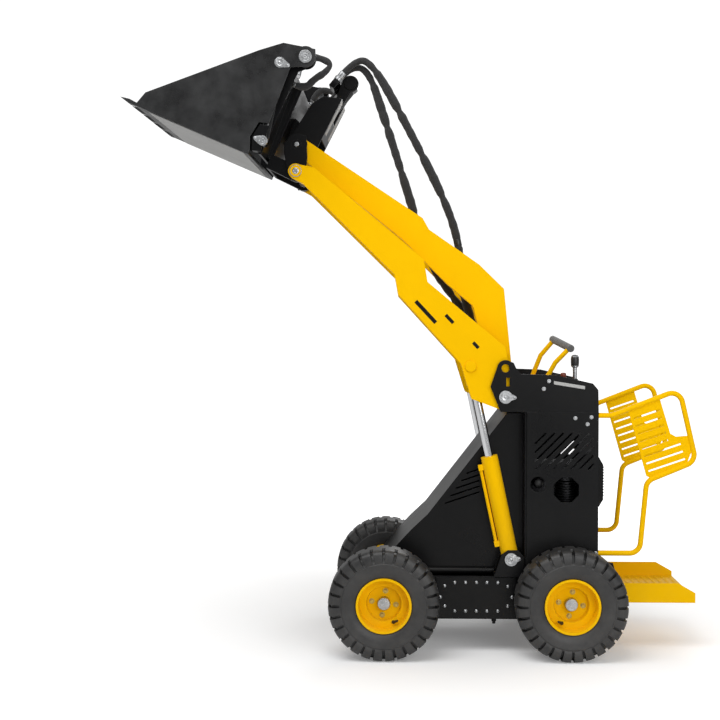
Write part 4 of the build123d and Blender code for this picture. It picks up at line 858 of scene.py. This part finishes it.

# %% [markdown]
# Small plain metalwork: a tube along the foot of the front body, the drain stub below, raised studs on
# the standing floor, three plain bars on each boom arm, pale panels on the carrier's rear, and a pale
# plate under the bucket whose grey is a painted reflection of the floor.

# %% Trim
tube = swept([(x, 236.0, 329.0) for x in np.linspace(-80, 300, 8)], 12.8, 16)
drain = plant(turned(((0, 0), (10, 0), (10, 14), (7, 15), (7, 24), (0, 24)), 16), (-78, 270, 136.5), (0, 0, -1))
build("foot_tubes", GROUND, both_sides(tube, drain), black_paint, "chassis")
x, y = np.meshgrid(np.arange(-900, -575, 30.0), np.arange(-225, 226, 30.0))
stud = turned(((8, 0), (6.5, 2.2), (3, 3), (0, 3.1)), 8)
studs = plant(stud, np.column_stack((x.ravel(), y.ravel(), np.full(x.size, 219.0))), up)
build("floor_studs", GROUND, [studs], yellow_paint, "chassis", 60.0)
BARS = ((482, -2, 60, 7), (394, 50, 22, 6), (240, 56, 15, 6))  # along, above, half length, half height
bars = [
    plant(hull_plate([(a * l, b * h, 1) for a in (-1, 1) for b in (-1, 1)], 0.6, 0.2), (u, ARM_Y, w))
    for u, w, l, h in BARS
]
# pale grey plate under the bucket: its grey is a painted reflection of the floor
wear = hull_plate([(x, y, 6) for x in (206, 610) for y in (-480, 480)], 1.6, 0.5)
build("painted_reflection_plate", BUCKET, [plant(wear, (0, 0, -28.1), (0, 0, -1))], grey_paint_and_reflection, "jaw")
rear, rise = (-0.8902, 0.0, -0.4555), (-0.4555, 0.0, 0.8902)
panel = hull_plate([(x, y, 3) for x in (-70, 80) for y in (-34, 34)], 1.2, 0.4)
spots = [(-146, side * 102, 240) for side in (-1, 1)]
build("pale_panels", HEAD, [plant(panel, spots, rear, rise)], grey_paint_and_reflection, "carrier")
build("arm_bars", BOOM, both_sides(*bars), black_paint, "boom")
print("studs:", x.size)

# %% [markdown]
# Steel fittings join each sleeve to its block: a ferrule pressed over the end, and a hexagon behind it.

# %% Hose fittings
FERRULE = ((0, 0), (17, 0), (17, 11), (14, 12), (14.6, 13), (14.6, 40), (13.6, 41), (0, 41))
FLATS = ((0, 0), (18, 0), (18, 12), (16, 14), (0, 14))
UP_OUT = (-math.cos(TILT_TURN), 0.0, -math.sin(TILT_TURN))  # out of the block, along the cylinder


def fitting(ferrule, spot, axis, lead):
    """A round ferrule and six flats, from a spot along an axis."""
    return [plant(turned(profile, n), spot, axis, lead) for profile, n in ((ferrule, 20), (FLATS, 6))]


for name, across, *_, low, _ in HOSES:
    port = fitting(FERRULE, (PORT[0], across, PORT[1]), UP_OUT, (1, 0, 0))
    build(f"fitting_{name}_head", GROUND, port, zinc_plate, "tilt_barrel")
    wall = fitting(FERRULE, (BULKHEAD_FACE, across, low), (1, 0, 0), (0, 1, 0))
    build(f"fitting_{name}_tail", GROUND, wall, zinc_plate, "chassis")
print("fittings:", 2 * len(HOSES))

# %% [markdown]
# Behind each bucket hinge a short hose loops from an elbow on the back blade to a straight fitting below
# it. Both ends are on the hitch, so the loop rides there and needs no blend.

# %% Jaw hose loops
LOOP_Y = 400.0
LOOP = ((135.5, 364), (134, 432), (80, 452), (24, 448), (36, 404), (66, 364), (84, 312), (133, 312))
LOOP_SHARE = 0.8  # of the main hoses' width
SMALL = [(LOOP_SHARE * r, LOOP_SHARE * h) for r, h in FERRULE]
ELBOW = ((0, 0), (13, 0), (13, 34), (10, 38), (0, 38))
for side, hand in (("left", 1), ("right", -1)):
    route = np.array([(u, hand * LOOP_Y, v) for u, v in LOOP])
    sleeve(f"jaw_hose_{side}", smooth_line(BUCKET(route)), 0.02, "hitch", LOOP_SHARE)
OFF_BLADE, SIDEWAYS = (-1, 0, 0), (0, 1, 0)
elbows = [plant(turned(ELBOW, 6), (159.5, LOOP_Y, 352), OFF_BLADE, SIDEWAYS)]
elbows += [plant(turned(SMALL, 20), (135.5, LOOP_Y, 356), up)]
elbows += fitting(SMALL, (157.5, LOOP_Y, 312), OFF_BLADE, SIDEWAYS)
build("jaw_hose_fittings", BUCKET, both_sides(*elbows), zinc_plate, "hitch")
print("jaw hoses: 2")
